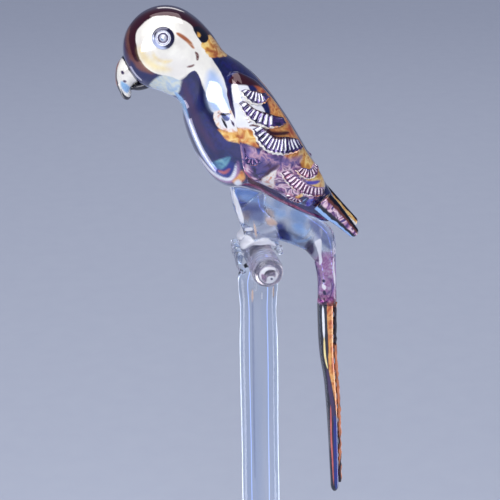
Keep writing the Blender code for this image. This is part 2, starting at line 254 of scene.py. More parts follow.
# Meshes ------------------------------------------------------------------------------------------


def linked(name, data):
    """A new object in the scene."""
    obj = bpy.data.objects.new(name, data)
    bpy.context.scene.collection.objects.link(obj)
    return obj


def shaped(mesh, name):
    """Turns a bmesh into an object."""
    data = bpy.data.meshes.new(name)
    mesh.to_mesh(data)
    mesh.free()
    return linked(name, data)


def face_out(mesh):
    """Turns the faces of a closed bmesh to point out."""
    bmesh.ops.recalc_face_normals(mesh, faces=mesh.faces)
    if mesh.calc_volume(signed=True) < 0:
        bmesh.ops.reverse_faces(mesh, faces=mesh.faces)


def finished(mesh, name):
    """Turns a bmesh into a smooth object with its faces pointing out."""
    bmesh.ops.remove_doubles(mesh, verts=mesh.verts, dist=WELD)
    face_out(mesh)
    obj = shaped(mesh, name)
    obj.data.shade_smooth()
    return obj


def loft(name, rings, ends=True):
    """A skin over rings of points, closed by its first and last ring."""
    mesh = bmesh.new()
    loops = [[mesh.verts.new(point) for point in ring] for ring in rings]
    for low, high in zip(loops, loops[1:]):
        for i in range(len(low)):
            j = (i + 1) % len(low)
            mesh.faces.new((low[i], low[j], high[j], high[i]))
    if ends:
        mesh.faces.new(loops[0])
        mesh.faces.new(loops[-1])
    return finished(mesh, name)


def turned(name, profile, around=96, ends=True):
    """A solid of revolution about Z: the profile's points are radius and height, in millimetres."""
    rings = []
    for radius, height in profile:
        reach = radius * MM
        rings.append([(reach * math.cos(a), reach * math.sin(a), height * MM) for a in circle(around)])
    return loft(name, rings, ends)


def evaluated(obj, name):
    """The object with its modifiers applied, as a new object."""
    graph = bpy.context.evaluated_depsgraph_get()
    data = bpy.data.meshes.new_from_object(obj.evaluated_get(graph))
    bpy.data.objects.remove(obj)
    return linked(name, data)


def cut(obj, cutter):
    """Takes the cutter's volume out of the object, and removes the cutter."""
    trim = obj.modifiers.new("Trim", "BOOLEAN")
    trim.operation = "DIFFERENCE"
    trim.object = cutter
    made = evaluated(obj, obj.name)
    bpy.data.objects.remove(cutter)
    return made


def positions(obj):
    co = np.zeros(len(obj.data.vertices) * 3)
    obj.data.vertices.foreach_get("co", co)
    return from_bar(co)


def store(obj, name, values):
    """Keeps one number for each vertex, for the material to read."""
    layer = obj.data.attributes.new(name, "FLOAT", "POINT")
    layer.data.foreach_set("value", np.asarray(values, np.float32))


# Painted patches ---------------------------------------------------------------------------------


def softened(points, closed):
    """A smooth line through the points, as a Catmull-Rom curve."""
    p = np.array(points, float)
    before, after = np.roll(p, 1, 0), np.roll(p, -1, 0)
    if not closed:
        before[0], after[-1] = p[0], p[-1]
    tangents = (after - before) / 2
    found = []
    for i in range(len(p) if closed else len(p) - 1):
        j = (i + 1) % len(p)
        found += [hermite(t, p[i], p[j], tangents[i], tangents[j]) for t in np.arange(6) / 6]
    if not closed:
        found.append(p[-1])
    return np.array(found)


def patch_distance(at, points, width=0.0):
    """Distance of each place from a patch's edge, less than 0 inside it.

    A patch is the area within an outline, or with a width it is a line that tapers to its ends.
    """
    line = softened(points, closed=not width)
    starts = line[:-1] if width else line
    stops = line[1:] if width else np.roll(line, -1, 0)
    best = np.full(len(at), 1e9)
    inside = np.zeros(len(at), bool)
    for i, (a, b) in enumerate(zip(starts, stops)):
        along = b - a
        t = np.clip((at - a) @ along / max(along @ along, 1e-12), 0, 1)
        gap = np.hypot(*(at - a - t[:, None] * along).T)
        if width:
            share = (i + t) / len(starts)
            gap = gap - width * np.maximum(0, 1 - np.abs(2 * share - 1) ** 3)
        best = np.minimum(best, gap)
        if not width and a[1] != b[1]:
            crosses = (a[1] > at[:, 1]) != (b[1] > at[:, 1])
            inside ^= crosses & (at[:, 0] < a[0] + (at[:, 1] - a[1]) * along[0] / along[1])
    if not width:
        best[inside] *= -1
    return best


def linear(colour):
    """Colours are written as 0 to 255 in sRGB, and shaders take them linear."""
    shares = np.array(colour) / 255
    return tuple(np.where(shares < 0.04045, shares / 12.92, ((shares + 0.055) / 1.055) ** 2.4)) + (1,)


class Shader:
    """A material's nodes, added one call at a time."""

    def __init__(self, name):
        self.material = bpy.data.materials.new(name)
        self.material.use_nodes = True
        self.tree = self.material.node_tree
        self.main = self.tree.nodes["Principled BSDF"]

    def set(self, node, name, value):
        socket = node.inputs[name]
        if isinstance(value, bpy.types.NodeSocket):
            self.tree.links.new(value, socket)
        else:
            socket.default_value = value

    def add(self, kind, inputs, output=0, **settings):
        node = self.tree.nodes.new("ShaderNode" + kind)
        for name, value in settings.items():
            setattr(node, name, value)
        for name, value in inputs.items():
            self.set(node, name, value)
        return node.outputs[output]

    def attribute(self, name):
        return self.add("Attribute", {}, "Fac", attribute_name=name)

    def place(self, stretch=(1, 1, 1)):
        """Places on the object, in millimetres, scaled along each axis."""
        where = self.add("TexCoord", {}, "Object")
        scale = tuple(share / MM for share in stretch)
        return self.add("Mapping", {"Vector": where, "Scale": scale})

    def noise(self, size, detail=2.0, stretch=(1, 1, 1), distortion=0.0):
        """Soft noise from 0 to 1, whose grains are about so many millimetres."""
        inputs = {"Vector": self.place(stretch), "Scale": 1 / size, "Detail": detail}
        return self.add("TexNoise", inputs | {"Distortion": distortion}, "Fac")

    def math(self, operation, a, b):
        return self.add("Math", {0: a, 1: b}, operation=operation)

    def ramp(self, value, low, high, start=0.0, stop=1.0):
        inputs = {"Value": value, "From Min": low, "From Max": high, "To Min": start, "To Max": stop}
        return self.add("MapRange", inputs, interpolation_type="SMOOTHSTEP")

    def mix(self, share, a, b):
        """Goes from one colour to another as the share goes from 0 to 1."""
        node = self.tree.nodes.new("ShaderNodeMix")
        node.data_type = "RGBA"
        self.set(node, "Factor", share)
        for index, value in ((6, a), (7, b)):
            self.set(node, index, value)
        return node.outputs[2]

    def bands(self, value, colour, *steps):
        """Goes from the colour to each step's tint as the value goes from its start to its stop."""
        for start, stop, tint in steps:
            colour = self.mix(self.ramp(value, start, stop), colour, self.tint(tint))
        return colour

    def tint(self, colour):
        """A plain colour, or a swirled mottle of several."""
        if not isinstance(colour[0], tuple):
            return linear(colour)
        node = self.tree.nodes.new("ShaderNodeValToRGB")
        stops = node.color_ramp.elements
        while len(stops) < len(colour):
            stops.new(1.0)
        for i, (stop, shade) in enumerate(zip(stops, colour)):
            stop.position = i / (len(colour) - 1)
            stop.color = linear(shade)
        swirl = self.ramp(self.noise(SWIRL_SIZE, 2, distortion=0.7), 0.25, 0.75)
        self.set(node, "Fac", swirl)
        return node.outputs["Color"]

    def wander(self, size, detail, distortion):
        """Soft noise around 0."""
        return self.math("SUBTRACT", self.noise(size, detail, distortion=distortion), 0.5)

    def shifted(self, value, wander, amount):
        return self.math("ADD", value, self.math("MULTIPLY", wander, amount))

    def layers(self, patches):
        """Each patch's tint, with how far it covers each place."""
        wander = self.wander(2.2, 3, 0.6)
        for number, (colour, _, _, soft, wobble) in enumerate(patches):
            edge = self.attribute(f"patch_{number}")
            if wobble:
                edge = self.shifted(edge, wander, wobble)
            yield colour, self.ramp(edge, soft, -soft)

    def glaze(self, colour, metallic, roughness):
        """The colour, under a clear coat."""
        for name, value in (("Base Color", colour), ("Metallic", metallic), ("Roughness", roughness)):
            self.set(self.main, name, value)
        self.main.inputs["Coat Weight"].default_value = 1.0

    def mirror(self, colour, metallic, roughness, grain=0.5, detail=3, coat_ior=1.6):
        """A mirror-like lustre: metallic goes from its first value on dark colours to its second on pale."""
        shine = self.ramp(self.add("RGBToBW", {"Color": colour}), 0.15, 0.8, *metallic)
        self.glaze(colour, shine, self.ramp(self.noise(grain, detail), 0.3, 0.8, *roughness))
        self.main.inputs["Coat Roughness"].default_value = 0.015
        self.main.inputs["Coat IOR"].default_value = coat_ior

    def bump(self, height, strength, distance):
        inputs = {"Height": height, "Strength": strength, "Distance": distance * MM}
        self.set(self.main, "Normal", self.add("Bump", inputs))


def painted(shader, base, patches):
    """The base colour with each patch laid over it in turn."""
    colour = shader.tint(base)
    for tint, share in shader.layers(patches):
        colour = shader.mix(share, colour, shader.tint(tint))
    return colour


def paint(obj, patches, at=None):
    """Keeps each vertex's distance from every patch, in x and z or at the places given for them."""
    if at is None:
        at = positions(obj)[:, [0, 2]]
    for number, (_, points, width, _, _) in enumerate(patches):
        store(obj, f"patch_{number}", patch_distance(at, points, width))


def lustre(name, base, patches, metallic=0.45, lit_patch=None):
    """Glass under a mirror-like fumed lustre, in painted patches of colour, among them painted highlights and
    reflections.

    The glowing patch gives off a faint painted light, which stands in for light that would reach it through
    the clear glass melted to it.
    """
    shader = Shader(name)
    colour = painted(shader, base, patches)
    clouds = shader.noise(3.5, 4, distortion=0.4)
    colour = shader.add("HueSaturation", {
        "Color": colour,
        "Hue": shader.ramp(clouds, 0.2, 0.8, 0.485, 0.515),
        "Value": shader.ramp(clouds, 0.25, 0.75, 0.9, 1.1),
    })
    shader.mirror(colour, (metallic, 0.12), (0.06, 0.132), 0.8, 4)
    shader.bump(shader.noise(4.0, 2), 0.25, 0.12)
    # Painted light: a faint glow on the chosen patch.
    if lit_patch is not None:
        glow = shader.ramp(shader.attribute(f"patch_{lit_patch}"), 0.2, -0.4, 0, 0.4)
        shader.set(shader.main, "Emission Strength", glow)
        shader.set(shader.main, "Emission Color", shader.tint(BELLY_PAINTED_GLOW))
    return shader.material


def clear_glass(name, tint=(226, 236, 250), stretch=(1, 1, 1), depth=0.05, patches=()):
    """Clear glass, tinted in patches, and less clear under pale patches that paint highlights on it."""
    shader = Shader(name)
    main = shader.main
    shade = shader.ramp(shader.noise(3.0, 3, stretch), 0.3, 0.7)
    colour = shader.mix(shade, linear(tint), linear((250, 252, 255)))
    clear = 1.0
    for patch_tint, share in shader.layers(patches):
        colour = shader.mix(share, colour, shader.tint(patch_tint))
        clear = shader.ramp(share, 0, 1, clear, CLARITY.get(patch_tint, 1.0))
    shader.set(main, "Base Color", colour)
    shader.set(main, "Transmission Weight", clear)
    shader.set(main, "Roughness", shader.ramp(shader.noise(0.9, 3), 0.45, 0.8, 0.0, 0.04))
    main.inputs["IOR"].default_value = 1.47
    shader.bump(shader.noise(1.6, 3, stretch), 0.5, depth)
    return shader.material


def joint_face():
    """The plane where one gather melts into the next: it can't be seen."""
    shader = Shader("melted_joint")
    shader.main.inputs["Alpha"].default_value = 0.0
    return shader.material


def keep(obj, materials, slot, *nodes):
    """Gives a finished piece its materials, hangs it under the root empty and hides the CAD parts it takes
    the place of.
    """
    for material in materials:
        obj.data.materials.append(material)
    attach(obj, "root")
    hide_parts(*nodes)


# Colours of the lustre. A tuple of several colours is a mottle of them.
CREAM = (255, 250, 238)
WHITE = (250, 250, 255)
LAVENDER = (206, 214, 245)
MIST = (190, 212, 248)
NAVY = (24, 28, 92)
DEEP = (14, 18, 72)
INK = (12, 10, 34)
BURGUNDY = (66, 8, 26)
BROWN = (128, 74, 66)
RUST = (206, 124, 78)
GOLD = (244, 178, 84)
ORANGE = (226, 122, 52)
SKY = (150, 196, 240)
PURPLE = (92, 56, 132)
MAGENTA = (176, 32, 96)
PLUM = (70, 44, 92)
YELLOW = (255, 232, 160)
SALMON = (222, 112, 104)
MAUVE = (190, 140, 190)
VIOLET = (84, 84, 200)
BLUE = (26, 42, 144)
SMOKE = (120, 130, 184)
ICE = (160, 198, 248)
PEACH = (250, 210, 182)
SLATE = ((22, 24, 82), (34, 40, 112), (26, 26, 86), (44, 40, 104))
THROAT = ((176, 204, 232), (226, 230, 216), (190, 214, 236))
EMBER = ((204, 92, 40), (238, 140, 66), (252, 184, 104), (220, 112, 56))
HONEY = ((206, 112, 56), (246, 176, 88), (255, 218, 140), (232, 144, 74))
LILAC = ((52, 34, 84), (120, 76, 140), (206, 150, 180), (244, 216, 226), (110, 66, 120), (70, 70, 150))
DUSK = ((28, 22, 66), (64, 60, 128), (96, 80, 140), (60, 22, 64))
VEIL = ((64, 52, 112), (128, 104, 164), (206, 158, 176), (92, 84, 160))
SHELL = ((244, 178, 130), (255, 238, 220), (255, 250, 245), (238, 160, 120))
LAGOON = ((60, 104, 150), (104, 162, 186), (140, 190, 200))
UPPER_GROOVES = ((18, 14, 48), (48, 34, 96), (90, 64, 136), (36, 20, 60))
LOWER_GROOVES = ((64, 28, 76), (120, 60, 108), (84, 40, 100), (150, 80, 110))
# Colours of the painted glow on the belly's underside.
BELLY_PAINTED_GLOW = ((110, 130, 190), (170, 190, 236), (90, 100, 160), (150, 170, 220))
ROSE = ((255, 244, 250), (244, 190, 226), (206, 120, 190), (252, 230, 244), (232, 150, 206))
SWIRL_SIZE = 2.0
# How clear the glass stays under a pale patch: the white and ice patches are painted highlights and the peach
# ones painted reflections, made less clear so that they show.
CLARITY = {WHITE: 0.35, ICE: 0.7, PEACH: 0.6}

# Patches of colour on the body: tint, outline in x and z, width if it is a line, softness of its
# edge, and how far the edge wanders.
BODY_PATCHES = (
    (BROWN, ((-25, 49), (-25, 43), (-23.5, 39.5), (-20, 38.5), (-21.5, 42), (-23.5, 46), (-21, 50)), 0, 0.6,
     0.5),
    (NAVY, ((-24.5, 42), (-23, 40.3), (-21, 39.5), (-18.5, 39), (-18.4, 38.2), (-21.5, 36.5), (-24, 37.5)), 0,
     0.4, 0.6),
    # Painted highlight: the pale throat below the beak.
    (THROAT, ((-21, 37), (-18.4, 39.2), (-15.2, 38.3), (-15, 37), (-16, 34.5), (-19, 35.3)), 0, 0.3, 0.5),
    (BURGUNDY, ((-24.5, 45), (-24, 48), (-22, 51), (-17, 52.6), (-12, 50.8), (-8.5, 46.5), (-10, 44.5),
     (-12.5, 48), (-17, 50), (-21.5, 49), (-23.2, 45.5), (-22.7, 42.3), (-23.6, 42)), 0, 0.15, 0.3),
    # Painted reflection: the cream cheek disc and the band down the neck stand for the key softbox seen in
    # the lustre.
    (CREAM, ((-23.3, 46), (-22.4, 48), (-19.7, 50), (-16, 50), (-12.8, 48.5), (-11.4, 46), (-9.4, 42.6),
     (-7.5, 39.5), (-6.5, 36.9), (-5.6, 32.1), (-9.3, 31.8), (-10.5, 35.5), (-12.2, 39.8), (-14.9, 38.1),
     (-17, 38.8), (-20.3, 39.8), (-22.6, 42.2)), 0, 0.12, 0.4),
    (DEEP, ((-14.4, 38.2), (-12.7, 38.7), (-11.2, 35.9), (-10, 32.2), (-8.8, 29), (-7.4, 27.2)), 0.5, 0.6,
     0.3),
    # Painted reflection: the pale blue lower end of the neck band.
    (MIST, ((-9.6, 39.4), (-8, 38.8), (-6.6, 36), (-5.7, 32.1), (-9.1, 31.9), (-10.2, 35)), 0, 0.9, 0.5),
    (YELLOW, ((-22.8, 44.5), (-21.6, 42.4), (-20, 41), (-17, 40.2)), 0.5, 1.1, 0.8),
    (YELLOW, ((-20.2, 43.6), (-19.6, 42.4), (-18, 41.8), (-16.6, 42)), 0.3, 0.5, 0.8),
    (RUST, ((-15.7, 47.3), (-14.4, 46.4), (-13.2, 45.3), (-12.2, 43.9)), 0.36, 0.18, 0.3),
    (BROWN, ((-12.1, 43.5), (-11.7, 42.6), (-11.8, 41.7)), 0.26, 0.15, 0.3),
    (BROWN, ((-12.2, 41), (-13, 40.7), (-13.9, 40.6)), 0.22, 0.15, 0.3),
    (HONEY, ((-10.8, 44.6), (-9.2, 46), (-7, 43.4), (-5.4, 41.4), (-8.6, 42), (-9.6, 42.6)), 0, 0.15, 0.9),
    (INK, ((-12.3, 47.8), (-10.8, 47.7), (-9.3, 45.7), (-10.4, 44.9), (-11.5, 46)), 0, 0.12, 0.4),
    (GOLD, ((-11.6, 47.0), (-10.9, 46.6), (-10.9, 46.0), (-11.5, 46.1)), 0, 0.15, 0.2),
    (PLUM, ((-14.7, 38), (-13.7, 34.5), (-12.4, 30.5), (-10.6, 26.5), (-8.5, 23.5)), 0.7, 0.8, 0.5),
    (BURGUNDY, ((-5.9, 37.6), (-4.2, 38.7), (-1.5, 37.3), (1, 35.3), (-2, 36.3), (-4.8, 36.6)), 0, 0.25, 0.4),
    (SHELL, ((-8.9, 31.9), (-5.4, 32.1), (-4.6, 30), (-3, 28.2), (-5.5, 27.8), (-8.4, 29)), 0, 0.15, 0.5),
    # Painted highlight: a white patch on the upper breast, in front of the wing.
    (WHITE, ((-8, 31), (-5.6, 31.3), (-5, 29), (-7.4, 28.8)), 0, 0.4, 0.6),
    (SMOKE, ((-7.6, 31.6), (-5.9, 31.6), (-6.1, 30.4), (-6.9, 30.3)), 0, 0.12, 0.3),
    (INK, ((-8.2, 31.7), (-7, 31.4), (-5.6, 31.7)), 0.2, 0.15, 0.4),
    (INK, ((-7.5, 31), (-7.1, 30), (-6.5, 28.7)), 0.22, 0.12, 0.3),
    (PLUM, ((-5.8, 31), (-5.5, 30), (-5.2, 28.7)), 0.18, 0.12, 0.3),
    (HONEY, ((-8.3, 28.6), (-5.8, 27.9), (-2.2, 28.4), (-1.4, 25.6), (-4.7, 25.8), (-6.8, 26.6)), 0, 0.25,
     0.9),
    (EMBER, ((-8.3, 28.5), (-6.6, 27.8), (-4.6, 27.9), (-2.6, 28.6)), 0.2, 0.4, 0.3),
    (BLUE, ((-10, 20.4), (-8.6, 18.6), (-7, 17.6), (-5.5, 18.6), (-5.2, 21), (-6.2, 22.2), (-8.3, 21.4)), 0,
     0.7, 0.8),
    (LAGOON, ((-9.6, 21), (-6.2, 23.1), (-6.6, 21.4), (-7.9, 20)), 0, 0.35, 0.5),
    (SALMON, ((-8.2, 19.6), (-7.1, 19.3), (-6.1, 20.4)), 0.3, 0.35, 0.3),
    (MAUVE, ((-12.4, 22), (-9.8, 18.6), (-7.4, 17.2), (-5.6, 17.6), (-4.7, 19.4), (-4.6, 22)), 0.6, 0.5, 0.4),
    # Painted highlight: a white line over the breast.
    (WHITE, ((-12.2, 22.4), (-9.6, 19), (-7.4, 17.7), (-5.9, 18), (-5.2, 19.6), (-5, 21.6)), 0.42, 0.3, 0.3),
    (INK, ((-11.4, 20.2), (-9.2, 17.6), (-7.6, 16.5), (-6.4, 16.3)), 0.25, 0.25, 0.2),
    (EMBER, ((-5.6, 17.2), (-4.6, 18.9), (-3.9, 20.2), (-3.1, 18.4), (-4.2, 16.6)), 0, 0.35, 0.5),
    # Painted highlight: a small white patch low on the breast.
    (WHITE, ((-5.2, 17), (-4.4, 17.9), (-3.6, 16.8), (-4.3, 15.9)), 0, 0.4, 0.5),
    (BURGUNDY, ((-3, 18.9), (-0.9, 17.6), (1.2, 15.2), (4, 12.9), (8, 10.5), (7, 9.6), (2.5, 12.4),
     (0.4, 14.5), (-1.8, 16.5)), 0, 0.35, 0.6),
    (MAGENTA, ((-4.2, 16.2), (-3, 16.6), (-1.4, 16.2), (0.4, 14.9), (2.7, 13), (4.6, 11.8), (7, 10.6),
     (9, 9.4), (11, 8.3), (13.4, 7.2)), 0.32, 0.25, 0.3),
    # Painted reflection: pale lines along the front edge of the head and breast.
    (SKY, ((-16.3, 35.6), (-15, 33.6), (-14.3, 31.5), (-13.6, 29)), 0.45, 0.2, 0.1),
    (LAVENDER, ((-14.4, 31.5), (-13.4, 28.5), (-12, 24.7), (-10.4, 21.4), (-8, 18)), 0.36, 0.2, 0.1),
    # Painted highlight: a white line along the belly.
    (WHITE, ((-6.2, 15.3), (-4.6, 15.7), (-3.2, 15.7), (-0.3, 14.3), (2.9, 12.4)), 0.25, 0.2, 0.1),
    # Painted light: the belly's underside under the clear glass is painted pale ice, and it also glows
    # faintly.
    (ICE, ((-6.6, 14.8), (-5.3, 15.2), (-3.2, 15.4), (-0.3, 14), (2.9, 12.1), (4.8, 11), (7.5, 9.4), (10, 8),
     (12.6, 6.8), (14.4, 5.6), (12, 0), (-2, 5), (-8, 11)), 0, 0.15, 0.2),
)
WING_PATCHES = (
    (LILAC, ((-5, 25), (1, 24.4), (7, 23), (12, 19), (18, 6), (10, 6.6), (4, 10.4), (-2, 16.6)), 0, 0.7, 1.2),
    (EMBER, ((-1.2, 36.8), (0.6, 35.8), (3.4, 33), (5, 30.2), (7.2, 28), (9.9, 23.2), (8.4, 21.2), (5.2, 22),
     (3.8, 24.5), (1.5, 28.5), (2, 32), (0.3, 34.8)), 0, 0.3, 0.7),
    (HONEY, ((8.2, 24), (9.8, 22), (11.5, 19), (13.5, 15), (11, 14), (8.5, 18.5), (7.6, 21.4)), 0, 0.3, 0.9),
    # Painted reflection: the white patch at the front of the wing stands for the key softbox.
    (WHITE, ((-5.4, 36.8), (-4.4, 37.1), (-2.5, 36.9), (-1.5, 35), (0.3, 32.8), (1.5, 29.5), (0.2, 28),
     (-2.2, 27.8), (-3.7, 28.3), (-4.9, 29.4), (-5, 31.7), (-5.3, 34)), 0, 0.15, 0.4),
    (SMOKE, ((-4.3, 34.7), (-3.4, 34.7)), 0.1, 0.12, 0.1),
    (SMOKE, ((-4.2, 33.9), (-3.7, 34), (-3.3, 33.8)), 0.14, 0.12, 0.1),
    (BROWN, ((-3, 30.6), (-2, 30.7)), 0.12, 0.12, 0.1),
    (BROWN, ((-2.8, 30), (-1.9, 30.2)), 0.12, 0.12, 0.1),
    (BROWN, ((-2.6, 29.4), (-1.5, 29.5), (-0.5, 29.1)), 0.16, 0.14, 0.2),
    (BURGUNDY, ((-0.7, 29.1), (0.7, 28.3), (2.3, 27.5), (4.3, 27.1), (5.9, 26.9)), 0.4, 0.3, 0.3),
    (BURGUNDY, ((-5.9, 37.4), (-4.2, 38.9), (-1, 37.4), (1.7, 35.2), (-0.5, 36.3), (-4.4, 37)), 0, 0.2, 0.3),
    (PLUM, ((-6.6, 37.4), (-6.4, 35.6), (-5.9, 33), (-5.3, 31)), 0.5, 0.15, 0.2),
    (HONEY, ((-6, 28.5), (-2.2, 28.6), (-1.2, 25.9), (-4.7, 26.2), (-6.8, 26.9)), 0, 0.25, 0.9),
    (EMBER, ((-5, 28.4), (-3.4, 28.8), (-2.2, 28.6)), 0.2, 0.4, 0.3),
    (EMBER, ((-3, 26.3), (-1.2, 26.2), (-0.6, 25.2), (-1.6, 25.4)), 0, 0.3, 0.4),
    (VEIL, ((-4.3, 25.3), (-0.1, 24), (3, 23), (5.7, 22.1), (8.4, 21.9), (7.4, 20.6), (4, 20.4), (-0.5, 21.6),
     (-3.4, 21.8)), 0, 0.5, 0.9),
    (DUSK, ((-2.9, 22.1), (-0.3, 22.4), (3.2, 21.3), (2.1, 19.9), (0.2, 18.1), (-1.5, 19.4)), 0, 0.6, 1.0),
    (BURGUNDY, ((3.4, 21.2), (1.8, 20.4), (0.6, 18.9), (-0.4, 17.9)), 0.4, 0.5, 0.5),
    (SHELL, ((0, 17.9), (1.5, 19.5), (2.8, 20), (2.5, 18), (2.6, 16.2), (1.7, 14.7)), 0, 0.3, 0.8),
    (HONEY, ((5, 11.6), (6.9, 13.6), (8.4, 14), (7.8, 11.9), (6.9, 10.7)), 0, 0.3, 0.6),
    (NAVY, ((7.6, 12.9), (8.8, 13.6), (9.9, 12.9), (9.3, 11.4), (8.6, 10), (7.6, 10.6)), 0, 0.2, 0.5),
    # Painted highlight: a pale ice line on the navy dab.
    (ICE, ((7.9, 10.9), (8.5, 12.2), (9.3, 13)), 0.14, 0.12, 0.2),
    (VIOLET, ((9.6, 12.7), (11.3, 12.2), (11, 10.7), (9.4, 10.5)), 0, 0.3, 0.5),
    (INK, ((11.3, 10.9), (12.6, 11), (12.6, 9.6), (11.6, 8.4), (10.9, 9)), 0, 0.2, 0.4),
    # Painted highlight: white spots near the wing's end.
    (WHITE, ((13.3, 10.5), (15.9, 9.4), (15.7, 8.3), (13.8, 9.2)), 0, 0.3, 0.6),
    (SALMON, ((12, 12.2), (13.8, 12.2), (14.6, 10.4), (12.6, 10.9)), 0, 0.4, 0.6),
    (VIOLET, ((8.4, 16.7), (10.2, 16.2), (12.2, 16)), 0.4, 0.25, 0.3),
    (MAGENTA, ((-5.1, 22.9), (-3.7, 20.3), (-1.9, 17.8), (1.4, 14.2), (5.6, 10.9), (9.6, 8.7), (13.5, 7.4)),
     0.45, 0.2, 0.3),
)
BEAK_PATCHES = (
    (CREAM, ((-26.1, 41.5), (-26.9, 39.9), (-27.1, 38), (-26.5, 36), (-25.8, 34.6), (-24.9, 33.9),
     (-24.3, 34.5), (-24.8, 36), (-23.5, 36.5), (-23.3, 37.3), (-24, 38.6), (-24.9, 39.9), (-25.5, 41.3)), 0,
     0.12, 0.3),
    (SKY, ((-26.3, 37.5), (-25, 36.5), (-24.7, 35.8), (-25.2, 34.8), (-26.2, 35.9)), 0, 0.3, 0.3),
    (ORANGE, ((-26.2, 41.9), (-27.2, 40), (-27.6, 38), (-27.1, 36)), 0.3, 0.15, 0.1),
    (PLUM, ((-26.1, 39.4), (-25.9, 39)), 0.3, 0.15, 0.1),
    (PLUM, ((-25.9, 37.5), (-25.4, 37.4)), 0.25, 0.15, 0.1),
)

# Patches on the tail: how far forward or back of its middle line, and height z.
TAIL_PATCHES = (
    (EMBER, ((0.25, -9), (1.9, -9), (1.7, -36), (1.3, -41), (0.75, -36), (0.3, -31), (-0.1, -27),
     (0.15, -22)), 0, 0.12, 0.3),
    (ROSE, ((-2.4, -8.6), (2.4, -8.6), (2.4, -11.2), (-2.4, -11.2)), 0, 0.6, 0.6),
    (PLUM, ((-0.5, -26.6), (-0.2, -27.4), (0.2, -31.2), (0.6, -36), (0.9, -40), (0, -38.5), (-0.6, -32)), 0,
     0.2, 0.4),
    (BLUE, ((0.2, -38), (0.9, -40), (0.9, -53), (0, -55), (-0.1, -46)), 0, 0.2, 0.3),
    # Painted highlight: a white line down the front of the tail.
    (WHITE, ((-0.72, -12), (-0.7, -16), (-0.65, -20)), 0.24, 0.06, 0.05),
    (YELLOW, ((-0.65, -19), (-0.6, -23), (-0.3, -26.6)), 0.2, 0.06, 0.05),
    (GOLD, ((0.4, -19), (0.45, -23), (0.4, -27)), 0.16, 0.08, 0.1),
    (SALMON, ((-0.35, -34.6), (-0.4, -38), (-0.5, -43), (-0.4, -49), (-0.3, -54.5)), 0.16, 0.08, 0.1),
    (INK, ((1.55, -11), (1.6, -18), (1.45, -25), (1.35, -33), (1.2, -42), (1, -52)), 0.16, 0.06, 0.5),
)

# Tints within the clear glass between the belly and the tail, and pale patches painted on it as highlights:
# the ice crescents and the white streaks and edges.
GATHER_PATCHES = (
    (SMOKE, ((-3.5, 12), (-0.7, 11.6), (0.9, 10.5), (0.8, 8.1), (-1.5, 8), (-3.2, 9.5)), 0, 0.9, 1.2),
    (SMOKE, ((10.1, 7), (12.2, 6.5), (13, 3.5), (15.4, 0.8), (14.2, 0.5), (11.5, 4)), 0, 0.5, 0.8),
    # Painted highlights: the ice crescents and the white patches below.
    (ICE, ((-3.9, 13.6), (-1.6, 13.7), (0.9, 12.1), (3.6, 10), (2.4, 10.2), (-0.3, 12), (-3, 12.5)), 0, 0.6,
     0.6),
    (ICE, ((3.4, 10), (4.9, 9.8), (5.6, 8.7), (4.1, 8), (3, 9.1)), 0, 0.9, 1.2),
    (WHITE, ((-5.3, 14.7), (-4.6, 12.2), (-3.8, 9.4), (-3.3, 7.7)), 0.5, 0.2, 0.3),
    (PEACH, ((-1.3, 8.6), (-1, 6.6), (-0.7, 4.7)), 0.22, 0.2, 0.4),
    (PEACH, ((1.3, 8.5), (2.4, 8.6), (3.5, 7.5), (3.3, 6.8), (1.6, 7.4)), 0, 0.5, 1.2),
    (WHITE, ((-2.9, 6.7), (-1.7, 7), (-1.5, 6.4), (-2.7, 6.1)), 0, 0.15, 0.3),
    (WHITE, ((-4.6, 4.9), (-2.4, 4.9), (-0.9, 4.4), (0.7, 4.8), (2.2, 4.1), (3.4, 3.2), (3.2, 2.4),
     (1.4, 2.9), (-0.5, 3), (-2.1, 2.5), (-2.9, 1.3), (-3.5, -0.3), (-4.3, 0.3), (-4.2, 2)), 0, 0.3, 1.6),
    (BLUE, ((3.5, 5.2), (4.6, 5.9), (6, 5), (6.6, 2.9), (5, 3.3), (3.6, 3.9)), 0, 0.5, 1.2),
    (ICE, ((6.4, 6.8), (8.3, 6.9), (9.7, 5.2), (8.7, 4), (7.3, 5.1)), 0, 0.8, 1.2),
    (ICE, ((6.6, 4.6), (7.5, 2.9), (9.5, 3), (10.7, 3.9)), 0.3, 0.3, 0.4),
    (ROSE, ((11.2, -2), (14, -0.6), (15.8, -2), (16.6, -6), (16.6, -13.5), (12, -13.5), (12, -6)), 0, 0.8,
     1.6),
    (PLUM, ((9.8, 0.3), (10.8, 2.3), (11.4, 1.1), (11.3, -0.8), (10.6, -1)), 0, 0.3, 0.6),
    (WHITE, ((11.5, 2.7), (12.6, 3.1), (12.9, 1.8), (12.8, -0.1), (13.1, -2.2), (12.6, -3), (12.2, -0.2),
     (11.5, 1.9)), 0, 0.15, 0.4),
    (PURPLE, ((11.4, -1.8), (12.1, -3.9), (12.6, -6), (12.5, -8.1), (12.4, -11)), 0.25, 0.2, 0.4),
    (WHITE, ((15.6, -1.6), (15.5, -4.1), (15.8, -6.2), (16, -8.4)), 0.25, 0.15, 0.4),
    (PURPLE, ((16.1, 2), (16.2, -1), (16.2, -4), (16.5, -7), (16.4, -11)), 0.22, 0.2, 0.5),
    (PURPLE, ((13.6, -5.3), (14.8, -6.7), (15.2, -8.8), (14.4, -10.7), (13.4, -11.4), (12.6, -10.3),
     (12.4, -8.2), (12.7, -6.3), (13.6, -5.3)), 0.16, 0.12, 0.2),
    (WHITE, ((13.2, -7.3), (13.9, -7.8), (13.7, -8.6), (13.2, -8.2)), 0, 0.15, 0.3),
    (INK, ((13.4, -6.4), (13.5, -6.8)), 0.3, 0.12, 0.2),
    (INK, ((13.5, -8.8), (13.7, -9.6)), 0.35, 0.12, 0.3),
    (INK, ((13.5, -10.4), (13.6, -10.8)), 0.22, 0.12, 0.1),
)
